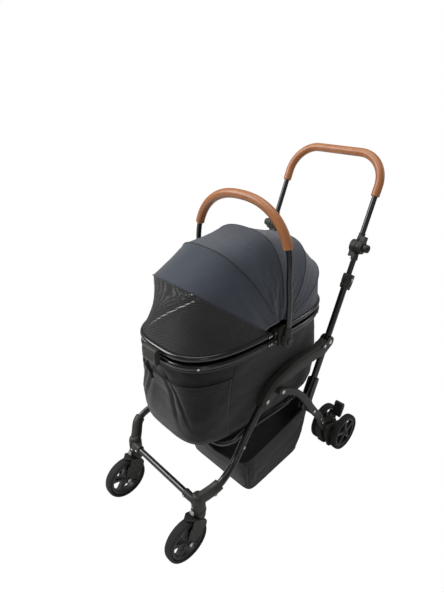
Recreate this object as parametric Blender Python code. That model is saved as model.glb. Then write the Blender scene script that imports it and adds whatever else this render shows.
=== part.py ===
"""Pet stroller: a folding four-point frame on swivelling front wheels and twin
rear wheels, a telescoping tilting push handle, and a lift-off pet carrier with
a carry handle, an opening front lid and a folding canopy.

Metres. X is across (+X the right-hand side), Y points backwards towards the
push handle, Z is up and the wheels stand on z = 0. Side pieces are built by one
function called once per side with side = +1 (right) or -1 (left).
"""
import math

import bmesh
import bpy
import numpy as np

for old in list(bpy.data.objects):
    bpy.data.objects.remove(old)

# ------------------------------------------------------------------ dimensions
GAP = 0.0003             # clearance between pieces that touch
SIDES = (("r", 1), ("l", -1))

# wheels and axles
WHEEL_R = 0.070          # outside radius of every tyre
TYRE_DEPTH = 0.012       # tyre thickness measured along the radius
FRONT_TYRE_W = 0.030
REAR_TYRE_W = 0.024
AXLE_R = 0.005
HUB_R = 0.013
WHEEL_SPOKES = 5
FRONT_TRACK = 0.318      # between the two front wheels
FRONT_AXLE_Y = -0.385
CASTER_TRAIL = 0.051     # front axle ahead of the swivel axis
REAR_TRACK = 0.3532      # between the two twin-wheel units
TWIN_SPACING = 0.086     # between the two wheels of one unit
REAR_AXLE_Y = 0.327

# frame tubes
SIDE_X = 0.1748          # plane of the push tubes and arches
PUSH_TUBE_R = 0.0105
PUSH_TUBE_BORE = 0.0088
INNER_TUBE_R = 0.0085
FRONT_TUBE_R = 0.0110
CROSS_TUBE_R = 0.0090
CRADLE_R = 0.0060

# push handle, measured along its own sloping line from the arch bracket
PUSH_ROOT = (0.2108, 0.4872)        # y, z
PUSH_SLOPE = math.radians(67.39)
PIVOT_S = 0.010          # fold pivot
TUBE_LOW_S = -0.235      # lower end of the outer tube
CLAMP_S = 0.190          # telescope clamp
CLAMP_LEN = 0.047
CLAMP_R = 0.0165
INNER_LOW_S = 0.055
KNUCKLE_S = 0.327        # handle tilt axis
KNUCKLE_R = 0.021
GRIP_LOW_S = 0.4865
HANDLE_TOP_S = 0.615
HANDLE_BEND_R = 0.095
GRIP_R = 0.0135

# arches and rear legs
ARCH_WALL = 0.0045
ARCH_FLANGE = 0.006
CHANNEL_W = 0.023
LEG_PIVOT = (-0.032, 0.433)         # y, z of the rear leg's fold pivot
SLEEVE_PIN = (0.1435, 0.260)        # y, z of the sleeve's pin on the rear leg
LEG_T = 0.013            # thickness of the rear leg mouldings
SLEEVE_WALL = 0.004
SLEEVE_LEN = 0.114

# carrier rims
RIM_A = 0.163            # half width of the rim tube's centre line
RIM_B = 0.295            # half length of the same line
RIM_N = 3.1              # roundness of the rim's outline (2 is an ellipse)
RIM_Y = -0.031
RIM_Z = 0.5975
RIM_STEP = 0.0265        # upper rim above the lower one
RIM_TUBE_R = 0.009
LID_PIVOT_Y = -0.056

# carrier bag and pad
BAG_HALF_W = 0.1545      # half width of the bag between the arches
BAG_DEPTH = 0.265
BAG_WALL = 0.003
BAG_FLOOR = 0.006
PAD_T = 0.024

# carry handle
MOUNT_Y = -0.016
MOUNT_Z = 0.600
MOUNT_T = 0.011
HUB_T = 0.0165
CARRY_HUB_R = 0.020
CARRY_ROD_R = 0.008
CARRY_TOP_Z = 0.983
CARRY_SPRING_Z = 0.797   # where the arch of the carry handle begins
BUTTON_R = 0.011

# canopy hoops: angle above the front horizontal, reach, roundness, pivot y
HOOP_HALF_W = 0.168
HOOP_A = (38.0, 0.268, 2.70, -0.0655)
HOOP_B = (59.0, 0.273, 2.67, -0.0180)
HOOP_C = (95.0, 0.253, 2.80, -0.0180)
HOOP_D = (132.0, 0.266, 2.70, -0.0100)
HOOP_E = (160.0, 0.300, 2.66, -0.0160)
CLOTH_T = 0.0025

# storage basket
BASKET_HALF_W = 0.150
BASKET_FRONT_Y = -0.106
BASKET_BACK_Y = 0.154
BASKET_FLOOR_Z = 0.030
BASKET_SAG_Z = 0.125     # top edge at its lowest, the middle of the front
BASKET_FLARE = 0.26      # how much longer the top is than the floor
BASKET_WALL = 0.003

# ------------------------------------------------------------- derived places
SWIVEL_Y = FRONT_AXLE_Y + CASTER_TRAIL
FRONT_X = FRONT_TRACK / 2
FORK_TOP = 2 * WHEEL_R + 0.0097
BARREL_Z0 = FORK_TOP + 0.0006
BARREL_Z1 = BARREL_Z0 + 0.062
NECK_Z = BARREL_Z0 + 0.0480
CROSS_Y = SWIVEL_Y - 0.010
CROSS_Z = BARREL_Z0 + 0.0407
SOCKET_IN = FRONT_X - 0.0465        # inner end of the cross tube's socket
RIM_OUT = RIM_A + RIM_TUBE_R
UPPER_Z = RIM_Z + RIM_STEP
RIM_TOP = UPPER_Z + RIM_TUBE_R
CLOTH_Z = RIM_TOP + 0.0012
CHANNEL_IN = SIDE_X - CHANNEL_W / 2
CHANNEL_OUT = SIDE_X + CHANNEL_W / 2
ARCH_IN = CHANNEL_IN - ARCH_WALL
ARCH_OUT = CHANNEL_OUT + ARCH_WALL
LEG_X = ARCH_OUT + 0.0005 + LEG_T / 2
RIM_FOOT = RIM_Z - RIM_TUBE_R - 0.0005
BAG_LOW_Z = RIM_FOOT - BAG_DEPTH


def push_point(s, n=0.0):
    """(y, z) at distance s up the push tube's line and n behind it."""
    c, k = math.cos(PUSH_SLOPE), math.sin(PUSH_SLOPE)
    return PUSH_ROOT[0] + s * c + n * k, PUSH_ROOT[1] + s * k - n * c


# ------------------------------------------------------------------- materials
def material(name, colour, roughness, metallic=0.0):
    m = bpy.data.materials.new(name)
    m.use_nodes = True
    shader = m.node_tree.nodes["Principled BSDF"]
    shader.inputs["Base Color"].default_value = (*colour, 1)
    shader.inputs["Roughness"].default_value = roughness
    shader.inputs["Metallic"].default_value = metallic
    return m


MOULDED = material("moulded plastic", (0.035, 0.036, 0.033), 0.55)
TUBE = material("painted tube", (0.014, 0.014, 0.015), 0.3, 0.3)
RUBBER = material("tyre rubber", (0.03, 0.032, 0.034), 0.75)
SILVER = material("bare metal", (0.7, 0.7, 0.7), 0.3, 1.0)
LEATHER = material("tan leatherette", (0.42, 0.15, 0.05), 0.5)
CANVAS = material("canopy cloth", (0.035, 0.045, 0.055), 0.85)
BAG_CLOTH = material("bag cloth", (0.018, 0.019, 0.020), 0.9)
MESH = material("mesh cloth", (0.012, 0.012, 0.013), 0.8)
GREY = material("grey plastic", (0.35, 0.35, 0.34), 0.5)


# ----------------------------------------------------------------- mesh helpers
def piece(name, verts, faces, mat, smooth=30):
    """One closed object from vertices and faces, its normals made to face out."""
    mesh = bpy.data.meshes.new(name)
    mesh.from_pydata([tuple(map(float, v)) for v in verts], [], [list(map(int, f)) for f in faces])
    bm = bmesh.new()
    bm.from_mesh(mesh)
    bmesh.ops.recalc_face_normals(bm, faces=bm.faces)
    bm.to_mesh(mesh)
    bm.free()
    mesh.materials.append(mat)
    if smooth:
        mesh.shade_smooth()
        mesh.set_sharp_from_angle(angle=math.radians(smooth))
    obj = bpy.data.objects.new(name, mesh)
    bpy.context.scene.collection.objects.link(obj)
    return obj


def combine(target, operation, tools):
    """Live Booleans: each tool is joined to or cut from the target, in order."""
    for tool in tools:
        tool.hide_render = True
        tool.display_type = "WIRE"
        mod = target.modifiers.new(operation.lower(), "BOOLEAN")
        mod.operation = operation
        mod.solver = "EXACT"
        mod.object = tool
    return target


def join(target, *tools):
    return combine(target, "UNION", tools)


def cut(target, *tools):
    return combine(target, "DIFFERENCE", tools)


def spline(points, count):
    """A smooth curve through the points, read at count even steps of its parameter."""
    p = np.array(points, float)
    p = np.vstack([2 * p[0] - p[1], p, 2 * p[-1] - p[-2]])
    out = []
    for t in np.linspace(0, len(points) - 1, count):
        i = min(int(t), len(points) - 2)
        u = t - i
        a, b, c, d = p[i], p[i + 1], p[i + 2], p[i + 3]
        out.append(0.5 * (2 * b + (c - a) * u + (2 * a - 5 * b + 4 * c - d) * u * u
                          + (3 * b - a - 3 * c + d) * u ** 3))
    return np.array(out)


def frames(path, closed):
    """Tangent and two normals at each path point, carried along without twist."""
    p = np.array(path, float)
    if closed:
        t = np.roll(p, -1, 0) - np.roll(p, 1, 0)
    else:
        t = np.gradient(p, axis=0)
    t /= np.linalg.norm(t, axis=1)[:, None]
    up = np.array([0.0, 0, 1]) if abs(t[0][2]) < 0.9 else np.array([1.0, 0, 0])
    n = [np.cross(t[0], up)]
    n[0] /= np.linalg.norm(n[0])
    for k in range(1, len(p)):
        v = n[-1] - t[k] * (n[-1] @ t[k])
        n.append(v / np.linalg.norm(v))
    n = np.array(n)
    return p, t, n, np.cross(t, n)


def grid_faces(rows, cols, close_rows, close_cols, start=0):
    f = []
    for i in range(rows if close_rows else rows - 1):
        for j in range(cols if close_cols else cols - 1):
            a, b = i * cols + j, i * cols + (j + 1) % cols
            c, d = ((i + 1) % rows) * cols + (j + 1) % cols, ((i + 1) % rows) * cols + j
            f.append([start + a, start + b, start + c, start + d])
    return f


def sweep(name, path, radius, mat, bore=0.0, sides=10, closed=False):
    """A round bar, or a tube if it has a bore, along a path."""
    p, _, n, b = frames(path, closed)
    a = np.arange(sides) * 2 * math.pi / sides
    ring = lambda r: (p[:, None] + r * (np.cos(a)[None, :, None] * n[:, None]
                                        + np.sin(a)[None, :, None] * b[:, None])).reshape(-1, 3)
    rows = len(p)
    verts, faces = ring(radius), grid_faces(rows, sides, closed, True)
    if closed:
        return piece(name, verts, faces, mat)
    last = (rows - 1) * sides
    if not bore:
        faces += [list(range(sides)), list(range(last, last + sides))]
        return piece(name, verts, faces, mat)
    inner = ring(bore)
    off = len(verts)
    faces += grid_faces(rows, sides, False, True, off)
    for base in (0, last):
        for j in range(sides):
            k = (j + 1) % sides
            faces.append([base + j, base + k, off + base + k, off + base + j])
    return piece(name, np.vstack([verts, inner]), faces, mat)


def turned(name, profile, origin, direction, mat, sides=24, start=0.0):
    """A closed profile of (along, radius) points turned about an axis."""
    d = np.array(direction, float)
    d /= np.linalg.norm(d)
    u = np.cross(d, [0, 0, 1.0]) if abs(d[2]) < 0.9 else np.cross(d, [1.0, 0, 0])
    u /= np.linalg.norm(u)
    w = np.cross(d, u)
    a = start + np.arange(sides) * 2 * math.pi / sides
    verts = [np.array(origin) + d * x + r * (math.cos(q) * u + math.sin(q) * w)
             for q in a for x, r in profile]
    return piece(name, verts, grid_faces(sides, len(profile), True, True), mat)


def rod(name, a, b, radius, mat, sides=12):
    return sweep(name, [a, b], radius, mat, sides=sides)


def slab(name, outline, x0, x1, mat, smooth=30):
    """A side-view outline of (y, z) points, extruded across from x0 to x1."""
    n = len(outline)
    verts = [(x, y, z) for x in (x0, x1) for y, z in outline]
    faces = [list(range(n)), list(range(n, 2 * n))]
    faces += [[i, (i + 1) % n, n + (i + 1) % n, n + i] for i in range(n)]
    return piece(name, verts, faces, mat, smooth)


def block(name, lo, hi, mat):
    return slab(name, [(lo[1], lo[2]), (hi[1], lo[2]), (hi[1], hi[2]), (lo[1], hi[2])],
                lo[0], hi[0], mat, 0)


def arc(cy, cz, r, a0, a1, count):
    """(y, z) points on a circle, the angle measured from +Y towards +Z in degrees."""
    return [(cy + r * math.cos(math.radians(a)), cz + r * math.sin(math.radians(a)))
            for a in np.linspace(a0, a1, count)]


def strip(name, path, half_depth, half_width, mat):
    """A flat bar along a path of (x, y, z) points: deep in side view, thin across."""
    p = np.array(path, float)
    t = np.gradient(p[:, 1:], axis=0)
    t /= np.linalg.norm(t, axis=1)[:, None]
    verts = []
    for (x, y, z), (ty, tz), h in zip(p, t, half_depth):
        for sx, sn in ((-1, -1), (1, -1), (1, 1), (-1, 1)):
            verts.append((x + sx * half_width, y - sn * tz * h, z + sn * ty * h))
    m = len(p)
    faces = grid_faces(m, 4, False, True) + [[0, 1, 2, 3], [4 * m - 4, 4 * m - 3, 4 * m - 2, 4 * m - 1]]
    return piece(name, verts, faces, mat, 40)


def oval(a, b, n, y0, angles):
    """Points (x, y) of a rounded rectangle: |x/a|^n + |(y-y0)/b|^n = 1."""
    c, s = np.cos(angles), np.sin(angles)
    return np.stack([a * np.sign(c) * np.abs(c) ** (2 / n),
                     y0 + b * np.sign(s) * np.abs(s) ** (2 / n)], 1)


def shell(name, outer, thickness, mat):
    """A thin closed sheet: a grid surface and a copy set in by its thickness."""
    g = np.array(outer, float)
    rows, cols = g.shape[:2]
    n = np.cross(np.gradient(g, axis=0), np.gradient(g, axis=1))
    n /= np.linalg.norm(n, axis=2)[..., None]
    centre = g.reshape(-1, 3).mean(0) - [0, 0, 0.12]
    if ((g - centre) * n).sum() < 0:
        n = -n
    inner = g - n * thickness
    verts = np.vstack([g.reshape(-1, 3), inner.reshape(-1, 3)])
    off = rows * cols
    faces = grid_faces(rows, cols, False, False) + grid_faces(rows, cols, False, False, off)
    rim = [j for j in range(cols)] + [i * cols + cols - 1 for i in range(1, rows)]
    rim += [(rows - 1) * cols + j for j in range(cols - 2, -1, -1)] + [i * cols for i in range(rows - 2, 0, -1)]
    for k, a in enumerate(rim):
        b = rim[(k + 1) % len(rim)]
        faces.append([a, b, off + b, off + a])
    return piece(name, verts, faces, mat, 0)


# ---------------------------------------------------------------------- wheels
def wheel(rim_name, tyre_name, centre, width, spokes):
    """A spoked wheel centre, open between its spokes, inside a rounded tyre."""
    bed = WHEEL_R - TYRE_DEPTH
    radii = [AXLE_R + 0.0004, HUB_R, bed - 0.009, bed]
    half = [width / 2 + 0.001, width / 2 + 0.001, width * 0.36, width * 0.36]
    per, div = 5, 5 * spokes
    angle = [2 * math.pi * k / div for k in range(div)]
    x0, y0, z0 = centre
    verts = [(x0 + s * h, y0 + r * math.cos(a), z0 + r * math.sin(a))
             for s in (-1, 1) for r, h in zip(radii, half) for a in angle]
    idx = lambda layer, ring, k: (layer * 4 + ring) * div + k % div
    solid = {(ring, k) for ring in range(3) for k in range(div) if ring != 1 or k % per < 2}
    faces = []
    for ring, k in solid:
        for layer in (0, 1):
            faces.append([idx(layer, ring, k), idx(layer, ring, k + 1),
                          idx(layer, ring + 1, k + 1), idx(layer, ring + 1, k)])
        if (ring, (k + 1) % div) not in solid:
            faces.append([idx(0, ring, k + 1), idx(0, ring + 1, k + 1), idx(1, ring + 1, k + 1), idx(1, ring, k + 1)])
        if (ring, (k - 1) % div) not in solid:
            faces.append([idx(0, ring, k), idx(0, ring + 1, k), idx(1, ring + 1, k), idx(1, ring, k)])
        if (ring + 1, k) not in solid:
            faces.append([idx(0, ring + 1, k), idx(0, ring + 1, k + 1), idx(1, ring + 1, k + 1), idx(1, ring + 1, k)])
        if (ring - 1, k) not in solid:
            faces.append([idx(0, ring, k), idx(0, ring, k + 1), idx(1, ring, k + 1), idx(1, ring, k)])
    piece(rim_name, verts, faces, MOULDED)
    w = width / 2
    profile = [(-w * 0.8, bed + GAP), (-w, bed + TYRE_DEPTH * 0.45), (-w * 0.6, WHEEL_R - 0.0006),
               (0, WHEEL_R), (w * 0.6, WHEEL_R - 0.0006), (w, bed + TYRE_DEPTH * 0.45), (w * 0.8, bed + GAP)]
    turned(tyre_name, profile, centre, (1, 0, 0), RUBBER, div, math.pi)


# ----------------------------------------------------------- front wheel forks
def front_fork(tag, side):
    """Fender over the tyre, an arm each side of the wheel, axle and swivel boss."""
    x, y, z = side * FRONT_X, FRONT_AXLE_Y, WHEEL_R
    arm, inner = 0.0212, FRONT_TYRE_W / 2 + 0.0024
    fender = WHEEL_R + 0.0080
    outline = arc(y, z, 0.013, -115, -200, 5)
    outline += arc(y, z, WHEEL_R - 0.001, 70, 90, 4)
    outline += arc(y, z, fender, 90, 32, 9)
    outline += arc(y, z, 0.013, -22, -65, 3)
    body = slab(f"fork_{tag}", outline, x - arm, x + arm, MOULDED)
    boss = turned(f"fork_boss_{tag}", [(0, 0.004), (0, 0.0205), (-0.032, 0.0205), (-0.032, 0.004)],
                  (x, SWIVEL_Y, FORK_TOP), (0, 0, 1), MOULDED, 20)
    plug = rod(f"fork_plug_{tag}", (x, SWIVEL_Y, FORK_TOP - 0.031), (x, SWIVEL_Y, FORK_TOP - 0.001), 0.010, MOULDED)
    room = turned(f"fork_room_{tag}", [(-inner, 0.0005), (-inner, WHEEL_R + 0.0035), (inner, WHEEL_R + 0.0035), (inner, 0.0005)],
                  (x, y, z), (1, 0, 0), MOULDED, 32)
    core = rod(f"fork_core_{tag}", (x - inner, y, z), (x + inner, y, z), 0.004, MOULDED)
    axle = rod(f"fork_axle_{tag}", (x - arm - 0.002, y, z), (x + arm + 0.002, y, z), AXLE_R, SILVER)
    join(body, boss, plug)
    cut(body, room, core)
    join(body, axle)
    wheel(f"front_rim_{tag}", f"front_tyre_{tag}", (x, y, z), FRONT_TYRE_W, WHEEL_SPOKES)


def swivel_lock(tag, side):
    """Small lever on the front of the barrel that locks the fork straight ahead."""
    x = side * FRONT_X
    y = SWIVEL_Y - 0.0210 - 0.0008
    z = BARREL_Z0 + 0.001
    slab(f"swivel_lock_{tag}", [(y, z + 0.011), (y - 0.003, z + 0.011), (y - 0.006, z + 0.003),
                                (y - 0.006, z), (y - 0.002, z)], x - 0.007, x + 0.007, GREY)


# -------------------------------------------------------------- front junctions
def leg_path(side):
    """Centre line of a front leg tube, from inside the arch down to the junction."""
    top = [(SIDE_X, -0.0815, 0.4290), (SIDE_X, -0.095, 0.406), (SIDE_X + 0.0035, -0.157, 0.338), (SIDE_X + 0.0125, -0.218, 0.277)]
    low = [(FRONT_X + 0.036, SWIVEL_Y + 0.063, NECK_Z + 0.0515), (FRONT_X + 0.031, SWIVEL_Y + 0.036, NECK_Z + 0.036),
           (FRONT_X + 0.015, SWIVEL_Y + 0.0175, NECK_Z + 0.0127)]
    return spline([(side * x, y, z) for x, y, z in top + low], 16)


def junction(tag, side):
    """Moulding that joins a leg tube, the cross tube and the wheel's swivel."""
    x = side * FRONT_X
    legs = leg_path(side)
    end = legs[-1]
    start = legs[np.argmin(np.abs(legs[:, 1] - (SWIVEL_Y + 0.045)))]
    barrel = turned(f"junction_{tag}", [(0, 0.0015), (0, 0.0210), (BARREL_Z1 - BARREL_Z0 - 0.006, 0.0210),
                                        (BARREL_Z1 - BARREL_Z0, 0.0150), (BARREL_Z1 - BARREL_Z0, 0.0015)],
                    (x, SWIVEL_Y, BARREL_Z0), (0, 0, 1), MOULDED, 20)
    core = rod(f"junction_core_{tag}", (x, SWIVEL_Y, BARREL_Z0 + 0.001), (x, SWIVEL_Y, BARREL_Z1 - 0.001), 0.006, MOULDED)
    sleeve = sweep(f"junction_sleeve_{tag}", [start, (start + end) / 2, end, (x + side * 0.003, SWIVEL_Y + 0.004, NECK_Z - 0.004)],
                   0.0160, MOULDED, sides=14)
    socket = rod(f"junction_socket_{tag}", (side * SOCKET_IN, CROSS_Y, CROSS_Z), (x, CROSS_Y, CROSS_Z), 0.0125, MOULDED)
    bore = sweep(f"junction_bore_{tag}", [legs[-1] + (legs[-1] - legs[-2]) * 0.06, *legs[-2:-7:-1]],
                 FRONT_TUBE_R + GAP + 0.0002, MOULDED, sides=14)
    cross = rod(f"junction_cross_{tag}", (side * (SOCKET_IN - 0.01), CROSS_Y, CROSS_Z),
                (side * (SOCKET_IN + 0.015), CROSS_Y, CROSS_Z), CROSS_TUBE_R + GAP + 0.0001, MOULDED)
    join(barrel, core, sleeve, socket)
    cut(barrel, bore, cross)


# ---------------------------------------------------------------------- arches
def arch_outline():
    """Side view of an arch: a curved beam ending in two ears round the push tube."""
    top = spline([(-0.110, 0.408), (-0.082, 0.447), (-0.030, 0.478), (0.040, 0.4958),
                  (0.109, 0.502), (0.172, 0.500), (0.196, 0.505)], 15)
    py, pz = push_point(PIVOT_S)
    ear = arc(py, pz, 0.0185, 135, -45, 9)
    low = spline([(0.185, 0.461), (0.119, 0.463), (0.050, 0.457), (-0.021, 0.441), (-0.081, 0.3925)], 9)
    return [tuple(p) for p in top], ear, [tuple(p) for p in low]


def arch(tag, side):
    """Inverted channel: two webs and a top flange, open below for tube and sleeve."""
    top, ear, low = arch_outline()
    body = slab(f"arch_{tag}", top + ear + low, side * ARCH_IN, side * ARCH_OUT, MOULDED)
    drop = [(y + 0.0015, z - ARCH_FLANGE) for y, z in top if y < 0.180]
    hollow = drop + [(0.190, top[-2][1] - ARCH_FLANGE), (0.192, 0.60), (0.30, 0.60), (0.30, 0.30), (-0.20, 0.30),
                     (-0.1185, 0.3995)]
    channel = slab(f"arch_channel_{tag}", hollow, side * CHANNEL_IN, side * CHANNEL_OUT, MOULDED)
    legs = leg_path(side)
    tube = sweep(f"arch_tube_{tag}", [legs[0] + (legs[0] - legs[1]) * 0.15, *legs[:5]],
                 FRONT_TUBE_R + GAP, MOULDED, sides=14)
    cut(body, channel, tube)


# ------------------------------------------------------------------- push frame
def push_tube(tag, side):
    """Outer tube of the push handle with the telescope clamp's collar."""
    y, z = push_point(0)
    top = CLAMP_S + CLAMP_LEN
    profile = [(TUBE_LOW_S, PUSH_TUBE_BORE), (TUBE_LOW_S, PUSH_TUBE_R), (CLAMP_S, PUSH_TUBE_R),
               (CLAMP_S + 0.004, CLAMP_R), (top, CLAMP_R), (top, PUSH_TUBE_BORE)]
    turned(f"push_tube_{tag}", profile, (side * SIDE_X, y, z),
           (0, math.cos(PUSH_SLOPE), math.sin(PUSH_SLOPE)), TUBE, 16)
    lever = [push_point(s, CLAMP_R + n) for s, n in
             ((CLAMP_LEN + CLAMP_S - 0.002, 0.0012), (CLAMP_LEN + CLAMP_S - 0.002, 0.0085),
              (CLAMP_S + 0.030, 0.0085), (CLAMP_S - 0.004, 0.0050), (CLAMP_S - 0.004, 0.0012))]
    slab(f"clamp_lever_{tag}", lever, side * (SIDE_X - 0.010), side * (SIDE_X + 0.010), MOULDED)


def knuckle_half(name, side, x0, x1, stem_from, stem_to):
    """A disc about the tilt axis with a stem along the push line."""
    cy, cz = push_point(KNUCKLE_S)
    up = stem_to > KNUCKLE_S
    slope = math.degrees(PUSH_SLOPE)
    a0 = slope - 90 - 55 if up else slope + 90 - 55
    round_part = arc(cy, cz, KNUCKLE_R, a0 + 110 if up else a0 + 110, a0 + 360, 15)
    if up:
        round_part = arc(cy, cz, KNUCKLE_R, slope + 30, slope + 330, 16)
        stem = [push_point(stem_to, 0.0105), push_point(stem_to, -0.0105)]
    else:
        round_part = arc(cy, cz, KNUCKLE_R, slope - 150, slope + 150, 16)
        stem = [push_point(stem_from, -0.0105), push_point(stem_from, 0.0105)]
    return slab(name, round_part + stem, side * x0, side * x1, MOULDED)


def inner_tube(tag, side):
    """Telescoping tube that carries the lower half of the tilt knuckle."""
    x = side * SIDE_X
    low, high = push_point(INNER_LOW_S), push_point(KNUCKLE_S - KNUCKLE_R - 0.0015)
    bar = rod(f"inner_tube_{tag}", (x, *low), (x, *high), INNER_TUBE_R, TUBE, 16)
    half = knuckle_half(f"knuckle_low_{tag}", side, SIDE_X - 0.0208, SIDE_X - 0.0004,
                        KNUCKLE_S - KNUCKLE_R - 0.014, KNUCKLE_S)
    join(bar, half)


def handle_path():
    """Push handle's centre line: up one side, round two wide bends, down the other."""
    s0 = KNUCKLE_S + KNUCKLE_R + 0.0015
    xc, sc = SIDE_X - HANDLE_BEND_R, HANDLE_TOP_S - HANDLE_BEND_R
    flat = [(SIDE_X, s0), (SIDE_X, (s0 + GRIP_LOW_S) / 2), (SIDE_X, GRIP_LOW_S)]
    flat += [(xc + HANDLE_BEND_R * math.cos(a), sc + HANDLE_BEND_R * math.sin(a))
             for a in np.linspace(0, math.pi / 2, 8)]
    flat += [(-x, s) for x, s in flat[::-1]]
    return [(x, *push_point(s)) for x, s in flat]


def handlebar():
    """Bent handle bar with an upper knuckle half at each foot, and its grip."""
    path = handle_path()
    bar = sweep("handlebar", path, INNER_TUBE_R, TUBE, sides=12)
    cy, cz = push_point(KNUCKLE_S)
    for tag, side in SIDES:
        half = knuckle_half(f"knuckle_top_{tag}", side, SIDE_X + 0.0004, SIDE_X + 0.0207,
                            KNUCKLE_S, KNUCKLE_S + KNUCKLE_R + 0.014)
        recess = rod(f"knuckle_recess_{tag}", (side * (SIDE_X + 0.0157), cy, cz), (side * (SIDE_X + 0.030), cy, cz), 0.0136, MOULDED, 16)
        join(bar, half)
        cut(bar, recess)
        rod(f"knuckle_button_{tag}", (side * (SIDE_X + 0.0192), cy, cz), (side * (SIDE_X + 0.0407), cy, cz), 0.0130, MOULDED, 16)
    grip = path[2:-2]
    sweep("handlebar_grip", grip, GRIP_R, LEATHER, bore=INNER_TUBE_R + GAP + 0.0003, sides=12)


# ------------------------------------------------------------------- rear frame
def rear_leg(tag, side):
    """Curved flat leg from its pivot on the arch down between the twin wheels."""
    ly, lz = LEG_PIVOT
    py, pz = SLEEVE_PIN
    foot_x = side * (REAR_TRACK / 2 + 0.0074)
    x = side * LEG_X
    ay, az = REAR_AXLE_Y - 0.077, WHEEL_R + 0.043
    path = [(x, ly - 0.016, lz + 0.006), (x, ly - 0.010, lz + 0.004), (x, ly, lz), (x, ly + 0.032, lz - 0.015),
            (x, ly + 0.082, lz - 0.050), (x, py - 0.0435, pz + 0.062), (x, py, pz + 0.002),
            (x, py + 0.012, pz - 0.013), ((x + foot_x) / 2, (py + ay) / 2 + 0.001, (pz + az) / 2 + 0.010), (foot_x, ay - 0.022, az + 0.034), (foot_x, ay, az)]
    depth = [0.0065, 0.0100, 0.0110, 0.0110, 0.0112, 0.0122, 0.0130, 0.0130, 0.0130, 0.0125, 0.0110]
    strip(f"rear_leg_{tag}", path, depth, LEG_T / 2, MOULDED)


def rear_housing(tag, side):
    """Moulding between the twin wheels: leg socket, axle eye and brake case."""
    mid, hw = REAR_TRACK / 2, 0.0245
    y, z = REAR_AXLE_Y, WHEEL_R
    outline = [(y - 0.059, z - 0.046), (y - 0.037, z - 0.054), (y + 0.008, z - 0.028), (y + 0.018, z + 0.004),
               (y + 0.010, z + 0.032), (y - 0.012, z + 0.042), (y - 0.045, z + 0.049), (y - 0.077, z + 0.058),
               (y - 0.091, z + 0.046), (y - 0.082, z + 0.014), (y - 0.070, z - 0.020)]
    body = slab(f"rear_housing_{tag}", outline, side * (mid - hw), side * (mid + hw), MOULDED)
    foot = mid + 0.0074
    slot = block(f"housing_slot_{tag}", (side * (foot - LEG_T / 2 - 0.0004), y - 0.20, z + 0.020),
                 (side * (foot + LEG_T / 2 + 0.0004), y - 0.0620, z + 0.20), MOULDED)
    eye = rod(f"housing_eye_{tag}", (side * (mid - 0.05), y, z), (side * (mid + 0.05), y, z), AXLE_R + GAP, MOULDED)
    cut(body, slot, eye)
    for where, dx in (("inner", -TWIN_SPACING / 2), ("outer", TWIN_SPACING / 2)):
        wheel(f"rear_rim_{where}_{tag}", f"rear_tyre_{where}_{tag}", (side * (mid + dx), y, z), REAR_TYRE_W, WHEEL_SPOKES)
    by, bz = y + 0.011, z + 0.0515
    pedal = arc(by, bz, 0.0075, 150, 330, 8) + [(by + 0.022, bz + 0.028), (by + 0.022, bz + 0.046),
                                                (by + 0.009, bz + 0.049), (by + 0.002, bz + 0.036)]
    slab(f"brake_pedal_{tag}", pedal, side * (mid - 0.018), side * (mid + 0.018), MOULDED)


def rear_axle():
    half = REAR_TRACK / 2 + TWIN_SPACING / 2 + REAR_TYRE_W / 2 + 0.003
    rod("rear_axle", (-half, REAR_AXLE_Y, WHEEL_R), (half, REAR_AXLE_Y, WHEEL_R), AXLE_R, SILVER, 12)


def slide_sleeve(tag, side):
    """Open-fronted channel that slips along the push tube's lower end, pinned to the leg."""
    py, pz = SLEEVE_PIN
    c, k = math.cos(PUSH_SLOPE), math.sin(PUSH_SLOPE)
    dy, dz = py - PUSH_ROOT[0], pz - PUSH_ROOT[1]
    s_pin, n_pin = dy * c + dz * k, dy * k - dz * c
    s0, s1 = s_pin - 0.001, s_pin - 0.001 + SLEEVE_LEN
    inner = PUSH_TUBE_R + 0.0004
    outer = inner + SLEEVE_WALL
    back = PUSH_TUBE_R + 0.0028
    box = [push_point(s, n) for s, n in ((s0, -0.013), (s0, back + 0.0035), (s1, back + 0.0035), (s1, -0.013))]
    body = slab(f"slide_sleeve_{tag}", box, side * (SIDE_X - outer), side * (SIDE_X + outer), MOULDED)
    room = [push_point(s, n) for s, n in ((s0 - 0.05, -0.05), (s0 - 0.05, back), (s1 + 0.05, back), (s1 + 0.05, -0.05))]
    gap = slab(f"sleeve_room_{tag}", room, side * (SIDE_X - inner), side * (SIDE_X + inner), MOULDED)
    lug = [push_point(s, n) for s, n in ((s_pin + 0.030, back + 0.0005), (s_pin - 0.001, back + 0.0005))]
    lug += [push_point(s_pin + 0.010 * math.sin(a), n_pin + 0.010 * math.cos(a)) for a in np.linspace(-1.5, 1.3, 6)]
    ear = slab(f"sleeve_lug_{tag}", lug, side * (SIDE_X - 0.008), side * (LEG_X - LEG_T / 2 - 0.0008), MOULDED)
    cut(body, gap)
    join(body, ear)
    if side > 0:
        lever = [push_point(s_pin + s, n) for s, n in ((0.030, 0.010), (0.036, 0.002), (0.084, 0.001), (0.088, 0.007), (0.060, 0.015), (0.036, 0.0165))]
        slab("fold_latch", lever, SIDE_X - outer - 0.0052, SIDE_X - outer - 0.0006, GREY)


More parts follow.
